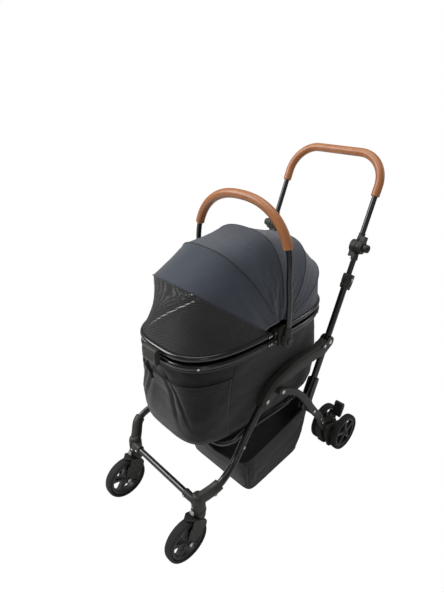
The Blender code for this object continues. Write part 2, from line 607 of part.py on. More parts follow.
# --------------------------------------------------------- under-carrier cradle
def cradle_bar():
    """One bent loop under the carrier: two rails, a rear bar and a front U."""
    z = BAG_LOW_Z - CRADLE_R - 0.0006
    rail = BAG_HALF_W - 0.0015
    half = [(0, 0.122, z), (rail * 0.60, 0.120, z), (rail * 0.93, 0.100, z), (rail, 0.060, z), (rail, -0.04, z),
            (rail, -0.115, z), (rail * 0.985, -0.152, z - 0.004), (rail * 0.86, -0.170, z - 0.035),
            (rail * 0.55, -0.186, z - 0.066), (0, -0.193, z - 0.077)]
    side = spline(half, 22)
    loop = [tuple(p) for p in side] + [(-p[0], p[1], p[2]) for p in side[-2:0:-1]]
    sweep("cradle_bar", loop, CRADLE_R, TUBE, sides=8, closed=True)


def storage_basket():
    """Open-topped cloth tub under the carrier, its top edge sagging at the sides."""
    count = 36
    ang = np.arange(count) * 2 * math.pi / count
    yc, yb = (BASKET_FRONT_Y + BASKET_BACK_Y) / 2, (BASKET_BACK_Y - BASKET_FRONT_Y) / 2
    rows_out, rows_in = [], []
    for v in np.linspace(0, 1, 4):
        for rows, inset in ((rows_out, 0), (rows_in, BASKET_WALL)):
            xy = oval(BASKET_HALF_W - 0.004 * (1 - v) - inset, yb * (1 + BASKET_FLARE * v) - inset, 12, yc + 0.012 * v, ang)
            floor = BASKET_FLOOR_Z + 0.030 * np.clip((xy[:, 1] - BASKET_FRONT_Y) / (2 * yb), 0, 1) + (inset if v == 0 else 0)
            back = np.clip((xy[:, 1] + 0.125) / 0.325, 0, 1)
            top = BASKET_SAG_Z + 0.115 * back + 0.045 * (1 - back) * np.abs(xy[:, 0] / BASKET_HALF_W) ** 2
            rows.append(np.column_stack([xy, floor * (1 - v) + top * v]))
    out, inn = np.vstack(rows_out), np.vstack(rows_in)
    off = len(out)
    faces = grid_faces(4, count, False, True) + grid_faces(4, count, False, True, off)
    faces += [[3 * count + j, 3 * count + (j + 1) % count, off + 3 * count + (j + 1) % count, off + 3 * count + j]
              for j in range(count)]
    mid_out, mid_in = 2 * off, 2 * off + 1
    faces += [[j, (j + 1) % count, mid_out] for j in range(count)]
    faces += [[off + j, off + (j + 1) % count, mid_in] for j in range(count)]
    z = rows_out[0][:, 2].mean()
    verts = np.vstack([out, inn, [(0, yc, z)], [(0, yc, z + BASKET_WALL)]])
    piece("storage_basket", verts, faces, BAG_CLOTH, 0)


# --------------------------------------------------------------------- carrier
def rim_points(z, a0, a1, count):
    """Points of the rim's centre line between two angles, at height z."""
    xy = oval(RIM_A, RIM_B, RIM_N, RIM_Y, np.linspace(a0, a1, count))
    return np.column_stack([xy, np.full(count, z)])


def rim_angle(y):
    """Angle at which the rim's centre line passes the given y, on the right side."""
    t = min(abs(y - RIM_Y) / RIM_B, 1) ** (RIM_N / 2)
    return math.copysign(math.asin(t), y - RIM_Y)


def carrier_rim():
    """Lower rim, the rear half of the upper rim, and the plates between them."""
    ring = rim_points(RIM_Z, 0, 2 * math.pi, 49)[:-1]
    lower = sweep("carrier_rim", ring, RIM_TUBE_R, TUBE, sides=8, closed=True)
    a = rim_angle(MOUNT_Y - 0.022)
    rear = sweep("rim_rear", rim_points(UPPER_Z, a, math.pi - a, 27), RIM_TUBE_R - 0.0004, TUBE, sides=8)
    plates = [block(f"rim_plate_{tag}", (side * (RIM_A - 0.006), MOUNT_Y - 0.0290, RIM_Z - 0.004),
                    (side * (RIM_A + 0.0087), MOUNT_Y + 0.012, UPPER_Z + 0.005), MOULDED) for tag, side in SIDES]
    join(lower, rear, *plates)


def lid_rim():
    """Front half of the upper rim, hinged ahead of the plates, and its latch."""
    a = rim_angle(LID_PIVOT_Y - 0.002)
    sweep("lid_rim", rim_points(UPPER_Z, a, -math.pi - a, 27), RIM_TUBE_R, TUBE, sides=8)
    y = RIM_Y - RIM_B - RIM_TUBE_R - 0.0052
    slab("lid_latch", [(y, RIM_Z - 0.007), (y, UPPER_Z + 0.010), (y - 0.005, UPPER_Z + 0.013), (y - 0.016, UPPER_Z + 0.009),
                       (y - 0.018, RIM_Z - 0.002), (y - 0.010, RIM_Z - 0.009)], -0.029, 0.029, MOULDED)


def carrier_bag():
    """Soft tub under the lower rim, narrowing to a flat base, with its pad."""
    count = 40
    ang = np.arange(count) * 2 * math.pi / count
    top, low = RIM_FOOT, BAG_LOW_Z
    sections = [(top, RIM_A - 0.004, RIM_B - 0.004, RIM_N), (top - 0.060, BAG_HALF_W, RIM_B - 0.001, 3.6),
                (top - 0.16, BAG_HALF_W, RIM_B - 0.002, 4.2), (low + 0.030, BAG_HALF_W - 0.003, RIM_B - 0.010, 4.2),
                (low, BAG_HALF_W - 0.012, RIM_B - 0.030, 3.8)]
    rings = lambda inset, lift: [np.column_stack([oval(a - inset, b - inset, n, RIM_Y - 0.003, ang), np.full(count, z if k < 4 else z + lift)])
                                 for k, (z, a, b, n) in enumerate(sections)]
    out, inn = np.vstack(rings(0, 0)), np.vstack(rings(BAG_WALL, BAG_FLOOR))
    off, rows = len(out), len(sections)
    faces = grid_faces(rows, count, False, True) + grid_faces(rows, count, False, True, off)
    faces += [[j, (j + 1) % count, off + (j + 1) % count, off + j] for j in range(count)]
    base = (rows - 1) * count
    faces += [list(range(base, base + count)), list(range(off + base, off + base + count))]
    piece("carrier_bag", np.vstack([out, inn]), faces, BAG_CLOTH, 0)
    z0 = low + BAG_FLOOR + 0.0006
    pad = [(z0, 0.020), (z0 + 0.006, 0.016), (z0 + PAD_T - 0.005, 0.015), (z0 + PAD_T, 0.026)]
    rows = [np.column_stack([oval(BAG_HALF_W - i, RIM_B - 0.036 - i, RIM_N, RIM_Y - 0.012, ang), np.full(count, z)]) for z, i in pad]
    faces = grid_faces(len(pad), count, False, True)
    faces += [list(range(count)), list(range((len(pad) - 1) * count, len(pad) * count))]
    piece("carrier_pad", np.vstack(rows), faces, CANVAS, 0)


def handle_mount(tag, side):
    """Block bolted beside the rims, on which the carry handle's hub turns."""
    x0 = RIM_OUT + 0.0005
    slab(f"handle_mount_{tag}", [(MOUNT_Y - 0.024, RIM_Z - 0.012), (MOUNT_Y + 0.024, RIM_Z - 0.012),
                                 (MOUNT_Y + 0.024, UPPER_Z + 0.010), (MOUNT_Y + 0.014, UPPER_Z + 0.018),
                                 (MOUNT_Y - 0.014, UPPER_Z + 0.018), (MOUNT_Y - 0.024, UPPER_Z + 0.010)],
         side * x0, side * (x0 + MOUNT_T), MOULDED)
    hub = x0 + MOUNT_T + 0.0005 + HUB_T
    rod(f"release_button_{tag}", (side * (hub - 0.0020), MOUNT_Y, MOUNT_Z), (side * (hub + 0.0055), MOUNT_Y, MOUNT_Z), BUTTON_R, MOULDED, 16)


def carry_handle():
    """Arched carry handle: two hubs, upright posts and a rounded top, with its grip."""
    x0 = RIM_OUT + 0.0010 + MOUNT_T
    post = x0 + HUB_T / 2
    top_a = SIDE_X + 0.0102
    right = [(post, MOUNT_Z + 0.004), (post, MOUNT_Z + 0.060), (post - 0.002, MOUNT_Z + 0.130), (top_a, CARRY_SPRING_Z)]
    right += [(top_a * math.cos(a) ** (2 / 2.3), CARRY_SPRING_Z + (CARRY_TOP_Z - CARRY_SPRING_Z) * math.sin(a) ** (2 / 2.3))
              for a in np.linspace(0.17, math.pi / 2, 9)]
    flat = right + [(-x, z) for x, z in right[-2::-1]]
    path = [(x, MOUNT_Y, z) for x, z in flat]
    bar = sweep("carry_handle", path, CARRY_ROD_R, TUBE, sides=10)
    for tag, side in SIDES:
        hub = rod(f"carry_hub_{tag}", (side * x0, MOUNT_Y, MOUNT_Z), (side * (x0 + HUB_T), MOUNT_Y, MOUNT_Z), CARRY_HUB_R, MOULDED, 20)
        recess = rod(f"carry_recess_{tag}", (side * (x0 + HUB_T - 0.0060), MOUNT_Y, MOUNT_Z),
                     (side * (x0 + HUB_T + 0.01), MOUNT_Y, MOUNT_Z), BUTTON_R + 0.0005, MOULDED, 16)
        join(bar, hub)
        cut(bar, recess)
    sweep("carry_grip", path[5:-5], GRIP_R, LEATHER, bore=CARRY_ROD_R + GAP + 0.0003, sides=10)


# ---------------------------------------------------------------------- canopy
def hoop(spec, ts):
    """A canopy hoop: a rounded arch in a plane tipped back from its side pivots."""
    angle, reach, n, y0 = spec
    a = math.radians(angle)
    x = HOOP_HALF_W * np.sign(np.cos(ts)) * np.abs(np.cos(ts)) ** (2 / n)
    q = reach * np.abs(np.sin(ts)) ** (2 / n)
    return np.stack([x, y0 - q * math.cos(a), CLOTH_Z + q * math.sin(a)], 1)


def rim_edge(ts, back):
    """The cloth's lower edge, on top of the front or rear half of the rim."""
    s = 1 if back else -1
    x = (HOOP_HALF_W - 0.002) * np.sign(np.cos(ts)) * np.abs(np.cos(ts)) ** (2 / RIM_N)
    y = RIM_Y + s * RIM_B * np.abs(np.sin(ts)) ** (2 / RIM_N)
    return np.stack([x, y, np.full(len(ts), CLOTH_Z)], 1)


def panel(name, curves, mat, edge=0.0032):
    """Cloth between hoops: straight rows across each pair of neighbouring curves."""
    rows = []
    for k in range(len(curves) - 1):
        a, b = curves[k], curves[k + 1]
        d = np.linalg.norm(b - a, axis=1)[:, None]
        steps = 3 if len(curves) == 2 else 2
        for v in range(steps + (k == len(curves) - 2)):
            f = v / steps
            e = np.clip(edge / d, 0, 0.3)
            if k == 0 and v == 0:
                f = e
            elif k == len(curves) - 2 and v == steps:
                f = 1 - e
            rows.append(a + (b - a) * f)
    shell(name, rows, CLOTH_T, mat)


def canopy():
    ts = np.concatenate([[0.035, 0.09], np.linspace(0.18, math.pi - 0.18, 17), [math.pi - 0.09, math.pi - 0.035]])
    a, b, c, d, e = (hoop(h, ts) for h in (HOOP_A, HOOP_B, HOOP_C, HOOP_D, HOOP_E))
    panel("mesh_dome", [rim_edge(ts, False), a], MESH)
    panel("canopy_front", [a, b], CANVAS)
    panel("canopy_mid", [b, c], CANVAS)
    panel("canopy_rear", [c, d, e, rim_edge(ts, True)], CANVAS)


# -------------------------------------------------------------------- assembly
for tag, side in SIDES:
    arch(tag, side)
    sweep(f"front_leg_{tag}", leg_path(side), FRONT_TUBE_R, TUBE, sides=14)
    junction(tag, side)
    front_fork(tag, side)
    swivel_lock(tag, side)
    push_tube(tag, side)
    inner_tube(tag, side)
    rear_leg(tag, side)
    rear_housing(tag, side)
    slide_sleeve(tag, side)
    handle_mount(tag, side)

cross_half = SOCKET_IN + 0.0147
rod("front_cross_tube", (-cross_half, CROSS_Y, CROSS_Z), (cross_half, CROSS_Y, CROSS_Z), CROSS_TUBE_R, TUBE, 12)
cradle_bar()
storage_basket()
rear_axle()
handlebar()
carrier_rim()
lid_rim()
carrier_bag()
carry_handle()
canopy()
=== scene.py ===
"""Pet stroller: a painted tube frame on small wheels carries a soft, hooded pet
carrier. X is across, Y runs back towards the push handle, Z is up; metres."""
import math

import bmesh
import bpy
import numpy as np
from mathutils import Matrix, Vector


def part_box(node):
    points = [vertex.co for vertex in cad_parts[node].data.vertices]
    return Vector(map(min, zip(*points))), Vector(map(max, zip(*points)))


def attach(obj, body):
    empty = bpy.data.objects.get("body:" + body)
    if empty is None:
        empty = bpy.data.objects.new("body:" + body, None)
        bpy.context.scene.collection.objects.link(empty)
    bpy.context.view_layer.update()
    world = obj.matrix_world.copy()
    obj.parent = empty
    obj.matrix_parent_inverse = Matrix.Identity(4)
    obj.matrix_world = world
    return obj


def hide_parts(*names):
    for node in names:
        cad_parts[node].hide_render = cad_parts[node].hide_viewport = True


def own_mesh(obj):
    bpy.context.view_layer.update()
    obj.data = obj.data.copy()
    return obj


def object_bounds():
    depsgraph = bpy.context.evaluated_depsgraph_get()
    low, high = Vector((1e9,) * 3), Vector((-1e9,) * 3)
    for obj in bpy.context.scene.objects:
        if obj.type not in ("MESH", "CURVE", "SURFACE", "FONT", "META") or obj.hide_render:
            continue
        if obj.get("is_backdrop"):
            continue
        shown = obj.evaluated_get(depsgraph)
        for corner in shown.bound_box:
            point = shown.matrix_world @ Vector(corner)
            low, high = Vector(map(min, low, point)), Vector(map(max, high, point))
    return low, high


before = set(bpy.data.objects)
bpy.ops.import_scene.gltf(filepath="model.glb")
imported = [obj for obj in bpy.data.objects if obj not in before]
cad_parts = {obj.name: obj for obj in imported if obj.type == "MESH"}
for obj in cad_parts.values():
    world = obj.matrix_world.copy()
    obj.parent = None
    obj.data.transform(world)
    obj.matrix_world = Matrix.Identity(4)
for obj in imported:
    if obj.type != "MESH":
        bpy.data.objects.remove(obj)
solid_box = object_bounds()
SIDES = (("r", 1), ("l", -1))

# ---------------------------------------------------------------------------
# Studio: plain white all round, dimmed for everything but the camera, a pale
# floor that only bounces light, a soft key from the front left and a weaker fill.
turn, tip, lean = math.radians(46.73), math.radians(25.81), math.radians(-0.18)
back = Vector((math.sin(turn) * math.cos(tip), -math.cos(turn) * math.cos(tip), math.sin(tip)))
right = Vector((math.cos(turn), math.sin(turn), 0))
up = back.cross(right)
right, up = right * math.cos(lean) + up * math.sin(lean), up * math.cos(lean) - right * math.sin(lean)
view = Matrix((right, up, back)).transposed().to_4x4()
view.translation = (0.883, -0.9205, 1.2837)
camera = bpy.data.objects.new("camera", bpy.data.cameras.new("camera"))
camera.data.lens, camera.data.sensor_width = 28.03, 36
camera.data.clip_start = 0.01
camera.matrix_world = view
bpy.context.scene.collection.objects.link(camera)
bpy.context.scene.camera = camera


def lamp(name, place, aim, width, height, watts, colour=(1, 1, 1)):
    """A rectangular softbox at place, facing aim."""
    light = bpy.data.lights.new(name, "AREA")
    light.shape, light.size, light.size_y = "RECTANGLE", width, height
    light.energy, light.color = watts, colour
    holder = bpy.data.objects.new(name, light)
    direction = Vector(aim) - Vector(place)
    holder.matrix_world = Matrix.Translation(place) @ direction.to_track_quat("-Z", "Y").to_matrix().to_4x4()
    bpy.context.scene.collection.objects.link(holder)


lamp("key", (-1.9, -1.7, 2.5), (0, 0, 0.55), 1.6, 1.6, 78)
lamp("fill", (2.6, -1.4, 1.7), (0, 0, 0.45), 0.25, 2.2, 6)
lamp("top", (-0.2, 0.1, 3.0), (0, 0, 0.5), 1.6, 2.0, 30)
lamp("rim", (1.4, 2.6, 1.9), (0, 0, 0.6), 0.5, 1.6, 12)
world = bpy.data.worlds.new("studio")
world.use_nodes = True
sky = world.node_tree.nodes["Background"]
sky.inputs["Color"].default_value = (1, 1, 1, 1)
seen = world.node_tree.nodes.new("ShaderNodeLightPath")
level = world.node_tree.nodes.new("ShaderNodeMapRange")
level.inputs["To Min"].default_value, level.inputs["To Max"].default_value = 0.22, 1.0
world.node_tree.links.new(seen.outputs["Is Camera Ray"], level.inputs["Value"])
world.node_tree.links.new(level.outputs["Result"], sky.inputs["Strength"])
bpy.context.scene.world = world
bpy.context.scene.view_settings.view_transform = "Standard"

floor = bpy.data.meshes.new("floor")
floor.from_pydata([(-3, -3, -0.0005), (3, -3, -0.0005), (3, 3, -0.0005), (-3, 3, -0.0005)], [],
                  [(0, 1, 2, 3)])
floor_object = bpy.data.objects.new("floor", floor)
bpy.context.scene.collection.objects.link(floor_object)
floor_object.visible_camera = False
paper = bpy.data.materials.new("floor paper")
paper.use_nodes = True
paper.node_tree.nodes["Principled BSDF"].inputs["Base Color"].default_value = (0.93, 0.93, 0.93, 1)
paper.node_tree.nodes["Principled BSDF"].inputs["Roughness"].default_value = 0.9
floor.materials.append(paper)
floor_object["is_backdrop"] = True

# ---------------------------------------------------------------------------
# Front legs and cross tube: round steel tubes, bowed out below the arches and
# powder coated satin black. The coat has a faint orange peel and dust.


def new_group(name, inputs, outputs):
    """An empty shader group with the named sockets, and its two end nodes."""
    group = bpy.data.node_groups.new(name, "ShaderNodeTree")
    for label, kind, value in inputs:
        socket = group.interface.new_socket(label, in_out="INPUT", socket_type="NodeSocket" + kind)
        socket.default_value = value
    for label, kind in outputs:
        group.interface.new_socket(label, in_out="OUTPUT", socket_type="NodeSocket" + kind)
    return group, group.nodes.new("NodeGroupInput"), group.nodes.new("NodeGroupOutput")


def node(tree, kind, links=(), **settings):
    """A shader node with its settings, and links given as (input, source socket)."""
    made = tree.nodes.new("ShaderNode" + kind)
    for key, value in settings.items():
        setattr(made, key, value)
    for key, source in links:
        if hasattr(source, "is_linked"):
            tree.links.new(source, made.inputs[key])
        else:
            made.inputs[key].default_value = source
    return made


def wired(group, out, **last_nodes):
    """The group, once each named output is linked from its last node."""
    for label, last in last_nodes.items():
        group.links.new(last.outputs[0], out.inputs[label])
    return group


def scuffed_group():
    """Moulded or painted skin: a base colour clouded towards a dusty one by slow
    noise, roughness that wanders with it, and a fine grain in the normal."""
    group, given, out = new_group("scuffed skin",
                                  [("Colour", "Color", (0.03, 0.03, 0.03, 1)),
                                   ("Dust", "Color", (0.1, 0.1, 0.1, 1)), ("Amount", "Float", 0.3),
                                   ("Roughness", "Float", 0.4), ("Grain", "Float", 900.0),
                                   ("Depth", "Float", 0.1)],
                                  [("Colour", "Color"), ("Roughness", "Float"), ("Normal", "Vector")])
    place = node(group, "TexCoord").outputs["Object"]
    cloud = node(group, "TexNoise",
                 [("Vector", place), ("Scale", 14.0), ("Detail", 5.0), ("Roughness", 0.62)])
    mask = node(group, "MapRange", [("Value", cloud.outputs["Fac"]), ("From Min", 0.42), ("From Max", 0.78)])
    share = node(group, "Math", [(0, mask.outputs[0]), (1, given.outputs["Amount"])], operation="MULTIPLY")
    mix = node(group, "MixRGB",
               [("Fac", share.outputs[0]), ("Color1", given.outputs["Colour"]),
                ("Color2", given.outputs["Dust"])])
    rough = node(group, "Math", [(0, cloud.outputs["Fac"]), (1, 0.16), (2, given.outputs["Roughness"])],
                 operation="MULTIPLY_ADD")
    fine = node(group, "TexNoise", [("Vector", place), ("Scale", given.outputs["Grain"]), ("Detail", 2.0)])
    bump = node(group, "Bump",
                [("Strength", given.outputs["Depth"]), ("Distance", 0.0004), ("Height", fine.outputs["Fac"])])
    return wired(group, out, Colour=mix, Roughness=rough, Normal=bump)


SCUFFED = scuffed_group()


def finish(name, group, values, **sockets):
    """A material: one Principled shader fed by a shared group with its own values."""
    made = bpy.data.materials.new(name)
    made.use_nodes = True
    tree = made.node_tree
    shader = tree.nodes["Principled BSDF"]
    source = tree.nodes.new("ShaderNodeGroup")
    source.node_tree = group
    for key, value in values.items():
        source.inputs[key].default_value = (*value, 1) if isinstance(value, tuple) else value
    for label, target in (("Colour", "Base Color"), ("Roughness", "Roughness"), ("Normal", "Normal"),
                          ("Alpha", "Alpha")):
        if label in source.outputs:
            tree.links.new(source.outputs[label], shader.inputs[target])
    for key, value in sockets.items():
        shader.inputs[key.replace("_", " ")].default_value = value
    return made


def coat(name, colour, dust, amount, roughness, grain, depth, **sockets):
    """A scuffed skin: its colour and dust, how much dust, roughness and grain."""
    values = {"Colour": colour, "Dust": dust, "Amount": amount, "Roughness": roughness, "Grain": grain,
              "Depth": depth}
    return finish(name, SCUFFED, values, **sockets)


BLACK_PAINT = coat("black powder coat", (0.0052, 0.0052, 0.0056), (0.016, 0.016, 0.016), 0.3, 0.19, 500.0,
                   0.06, Coat_Weight=0.25, Coat_Roughness=0.2)


def skin(points, wrap_rows=False, wrap_cols=False, caps=False):
    """Faces over a grid of points (rows, columns, 3): each face joins four
    neighbours. Its UVs are distances in metres along the middle row and column."""
    grid = np.asarray(points, float)
    rows, cols = grid.shape[:2]
    i, j = np.meshgrid(np.arange(rows if wrap_rows else rows - 1), np.arange(cols if wrap_cols else cols - 1),
                       indexing="ij")
    i, j = i.ravel(), j.ravel()
    i2, j2 = (i + 1) % rows, (j + 1) % cols
    quads = np.stack([i * cols + j, i * cols + j2, i2 * cols + j2, i2 * cols + j], 1)
    across = np.vstack([grid[rows // 2], grid[rows // 2][:1]])
    along = np.vstack([grid[:, cols // 2], grid[:1, cols // 2]])
    u = np.concatenate([[0], np.cumsum(np.linalg.norm(np.diff(across, axis=0), axis=1))])
    v = np.concatenate([[0], np.cumsum(np.linalg.norm(np.diff(along, axis=0), axis=1))])
    uv = np.stack([np.stack([u[j], v[i]], 1), np.stack([u[j + 1], v[i]], 1),
                   np.stack([u[j + 1], v[i + 1]], 1), np.stack([u[j], v[i + 1]], 1)], 1)
    ends = [np.arange(cols), (rows - 1) * cols + np.arange(cols)] if caps else []
    return grid.reshape(-1, 3), quads, uv, ends


def swing(value, power):
    """A value's size raised to a power, with the value's own sign."""
    return np.sign(value) * np.abs(value) ** power


def spline(points, count):
    """A Catmull-Rom curve: each span is a cubic through two points whose slope at
    a point is half the step between that point's neighbours."""
    p = np.array(points, float)
    p = np.vstack([2 * p[0] - p[1], p, 2 * p[-1] - p[-2]])
    t = np.linspace(0, len(points) - 1, count)
    k = np.minimum(t.astype(int), len(points) - 2)
    u = (t - k)[:, None]
    a, b, c, d = p[k], p[k + 1], p[k + 2], p[k + 3]
    return 0.5 * (2 * b + (c - a) * u + (2 * a - 5 * b + 4 * c - d) * u ** 2
                  + (3 * b - a - 3 * c + d) * u ** 3)


def tube(path, radius, across, sides=24, closed=False, flat=1.0):
    """A ring of points carried along a path: centre plus radius times cosine of
    one normal and sine of the other. The first normal is square to the path and
    to the across direction; flat squeezes the ring along the second."""
    p = np.array(path, float)
    step = np.roll(p, -1, 0) - np.roll(p, 1, 0) if closed else np.gradient(p, axis=0)
    step /= np.linalg.norm(step, axis=1)[:, None]
    one = np.cross(step, across)
    one /= np.linalg.norm(one, axis=1)[:, None]
    two = np.cross(step, one)
    a = np.linspace(0, 2 * np.pi, sides, endpoint=False)
    r = np.broadcast_to(radius, len(p))[:, None, None]
    ring = p[:, None] + r * (np.cos(a)[None, :, None] * one[:, None]
                             + flat * np.sin(a)[None, :, None] * two[:, None])
    return skin(ring, wrap_rows=closed, wrap_cols=True, caps=not closed)


def build(name, shapes, material, body, nodes=(), bevel=0.0, crease=35, segments=2):
    """One object from several shapes: a mesh, its outward faces, its shading, an
    optional rounded edge, and the body and solids that it stands for."""
    points, faces, corners, start = [], [], [], 0
    for verts, quads, uv, ends in shapes:
        points.append(verts)
        faces += (quads + start).tolist() + [(e + start).tolist() for e in ends]
        corners += [uv.reshape(-1, 2)] + [np.zeros((len(e), 2)) for e in ends]
        start += len(verts)
    mesh = bpy.data.meshes.new(name)
    mesh.from_pydata(np.vstack(points).tolist(), [], faces)
    mesh.uv_layers.new(name="UVMap").data.foreach_set("uv", np.vstack(corners).ravel())
    work = bmesh.new()
    work.from_mesh(mesh)
    bmesh.ops.recalc_face_normals(work, faces=work.faces)
    work.to_mesh(mesh)
    work.free()
    mesh.materials.append(material)
    mesh.shade_smooth()
    mesh.set_sharp_from_angle(angle=math.radians(crease))
    made = bpy.data.objects.new(name, mesh)
    bpy.context.scene.collection.objects.link(made)
    if bevel:
        edge = made.modifiers.new("rounded edges", "BEVEL")
        edge.width, edge.segments, edge.limit_method = bevel, segments, "ANGLE"
        edge.angle_limit, edge.harden_normals, edge.use_clamp_overlap = math.radians(crease), True, True
    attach(made, body)
    if nodes:
        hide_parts(*nodes)
    return made


SIDE_X, FRONT_X, SWIVEL_Y, CROSS_Z = 0.1748, 0.159, -0.334, 0.191
LEG_R = 0.011


def leg_path(side, count=70):
    """The front leg's centre line, from inside the arch down to the junction."""
    line = [(SIDE_X, -0.0815, 0.4290), (SIDE_X, -0.095, 0.406), (0.1783, -0.157, 0.338),
            (0.1873, -0.218, 0.277), (0.195, -0.271, 0.2498), (0.190, -0.298, 0.2343),
            (0.174, -0.3165, 0.211)]
    return spline([(side * x, y, z) for x, y, z in line], count)


for tag, side in SIDES:
    build(f"front_leg_tube_{tag}", [tube(leg_path(side), LEG_R, (1, 0, 0))], BLACK_PAINT, "frame",
          [f"front_leg_{tag}"])
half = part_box("front_cross_tube")[1][0]
build("cross_tube",
      [tube([(x, SWIVEL_Y - 0.010, CROSS_Z) for x in (-half, -0.06, 0.06, half)], 0.0092, (0, 0, 1))],
      BLACK_PAINT, "frame", ["front_cross_tube"])

# ---------------------------------------------------------------------------
# Front junctions: moulded nylon in a dark olive grey. Each has a sleeve for the
# leg, a socket for the cross tube and an upright barrel for the wheel's swivel,
# held with bright hex screws.
PLASTIC = coat("olive grey nylon", (0.016, 0.0163, 0.0137), (0.035, 0.035, 0.0315), 0.5, 0.42, 1500.0, 0.35,
                 Specular_IOR_Level=0.45)
BRIGHT = coat("zinc plated steel", (0.74, 0.74, 0.73), (0.45, 0.44, 0.42), 0.6, 0.2, 500.0, 0.1,
                Metallic=0.9)


def turned(profile, origin, axis, sides=40):
    """A profile of (distance along the axis, radius) turned about the axis."""
    d = np.array(axis, float)
    d /= np.linalg.norm(d)
    one = np.cross(d, (0, 0, 1) if abs(d[2]) < 0.9 else (1, 0, 0))
    one /= np.linalg.norm(one)
    two = np.cross(d, one)
    s, r = np.array(profile, float).T
    a = np.linspace(0, 2 * np.pi, sides, endpoint=False)
    spin = np.cos(a)[None, :, None] * one + np.sin(a)[None, :, None] * two
    return skin(np.array(origin) + s[:, None, None] * d + r[:, None, None] * spin, wrap_cols=True, caps=True)


def soft_edge(length, radius, edge=0.0012, start=0.0):
    """A cylinder's profile with quarter-round edges at both ends."""
    a = np.linspace(0, np.pi / 2, 5)
    low = np.stack([start + edge * (1 - np.sin(a)), radius - edge * (1 - np.cos(a))], 1)[::-1]
    low = low[np.argsort(low[:, 0])]
    high = np.stack([start + length - edge * (1 - np.cos(a)), radius - edge * (1 - np.sin(a))], 1)
    return np.vstack([[(start, radius * 0.4)], low, high, [(start + length, radius * 0.4)]])


def screw(place, axis, radius=0.0042, height=0.0026):
    """A domed screw head with a washer: a low profile turned about its axis."""
    profile = [(0, radius * 1.25), (0.0006, radius * 1.25), (0.0007, radius), (height * 0.7, radius * 0.94),
               (height, radius * 0.62), (height * 1.02, radius * 0.42), (height * 0.55, radius * 0.36),
               (height * 0.5, 0.0002)]
    return turned(profile, place, axis, 24)


for tag, side in SIDES:
    legs = leg_path(side, 90)
    sleeve = np.vstack([legs[legs[:, 1] < -0.283],
                        [(side * 0.167, -0.3245, 0.202), (side * 0.161, -0.331, 0.193)]])
    flare = np.interp(np.arange(len(sleeve)), [0, 1, 4, len(sleeve) - 1], [0.0150, 0.0162, 0.0166, 0.0172])
    parts = [tube(sleeve, flare, (1, 0, 0), 32),
             turned([(0, 0.012), (0.0004, 0.0198), (0.0018, 0.0210), (0.010, 0.0210), (0.046, 0.0206),
                     (0.055, 0.0188), (0.0605, 0.0145), (0.0625, 0.008), (0.0628, 0.001)],
                    (side * FRONT_X, SWIVEL_Y, 0.1503), (0, 0, 1)),
             turned(soft_edge(0.043, 0.0132, 0.002), (side * 0.1125, SWIVEL_Y - 0.010, CROSS_Z), (side, 0, 0),
                    32),
             turned([(0, 0.016), (0, 0.0222), (0.003, 0.0226), (0.006, 0.0222), (0.006, 0.016)],
                    (side * FRONT_X, SWIVEL_Y, 0.1515), (0, 0, 1))]
    build(f"junction_body_{tag}", parts, PLASTIC, "frame", [f"junction_{tag}"])
    heads = [screw((side * 0.1990, -0.3030, 0.2170), (side, -0.2, -0.5)),
             screw((side * 0.1207, SWIVEL_Y - 0.0232, CROSS_Z), (0, -1, 0), 0.0036),
             screw((side * (FRONT_X - 0.006), SWIVEL_Y - 0.0195, 0.1720), (-0.3 * side, -1, 0), 0.0036)]
    build(f"junction_screws_{tag}", heads, BRIGHT, "frame")

# ---------------------------------------------------------------------------
# Front forks: a boss that turns in the barrel, a fender band over the tyre and
# an arm down each side of the wheel to the axle. Moulded in one piece.


def plate(outline, x0, x1):
    """A side outline of (y, z) points, given thickness across from x0 to x1."""
    yz = np.array(outline, float)
    return skin(np.stack([np.column_stack([np.full(len(yz), x), yz]) for x in (x0, x1)]), wrap_cols=True,
                caps=True)


def arc(cy, cz, r, a0, a1, count):
    """Points (y, z) on a circle, from a0 to a1 degrees, +Y towards +Z."""
    a = np.radians(np.linspace(a0, a1, count))
    return np.column_stack([cy + r * np.cos(a), cz + r * np.sin(a)])


def band(cy, cz, r0, r1, a0, a1, x, half, count=40):
    """A curved strip over a wheel: a flat ring section, rounded at its corners,
    carried round the wheel's axis from a0 to a1 degrees."""
    a = np.radians(np.linspace(a0, a1, count))[:, None]
    q = np.linspace(0, 2 * np.pi, 20, endpoint=False)[None]
    squash_power = 0.35
    nose = np.clip((math.radians(a1) - a) / 0.34, 0.02, 1) ** 0.6
    wide = nose * half * swing(np.cos(q), squash_power)
    deep = (r0 + r1) / 2 + (r1 - r0) / 2 * swing(np.sin(q), squash_power)
    return skin(np.stack([x + wide + 0 * a, cy + deep * np.cos(a), cz + deep * np.sin(a)], -1),
                wrap_cols=True, caps=True)


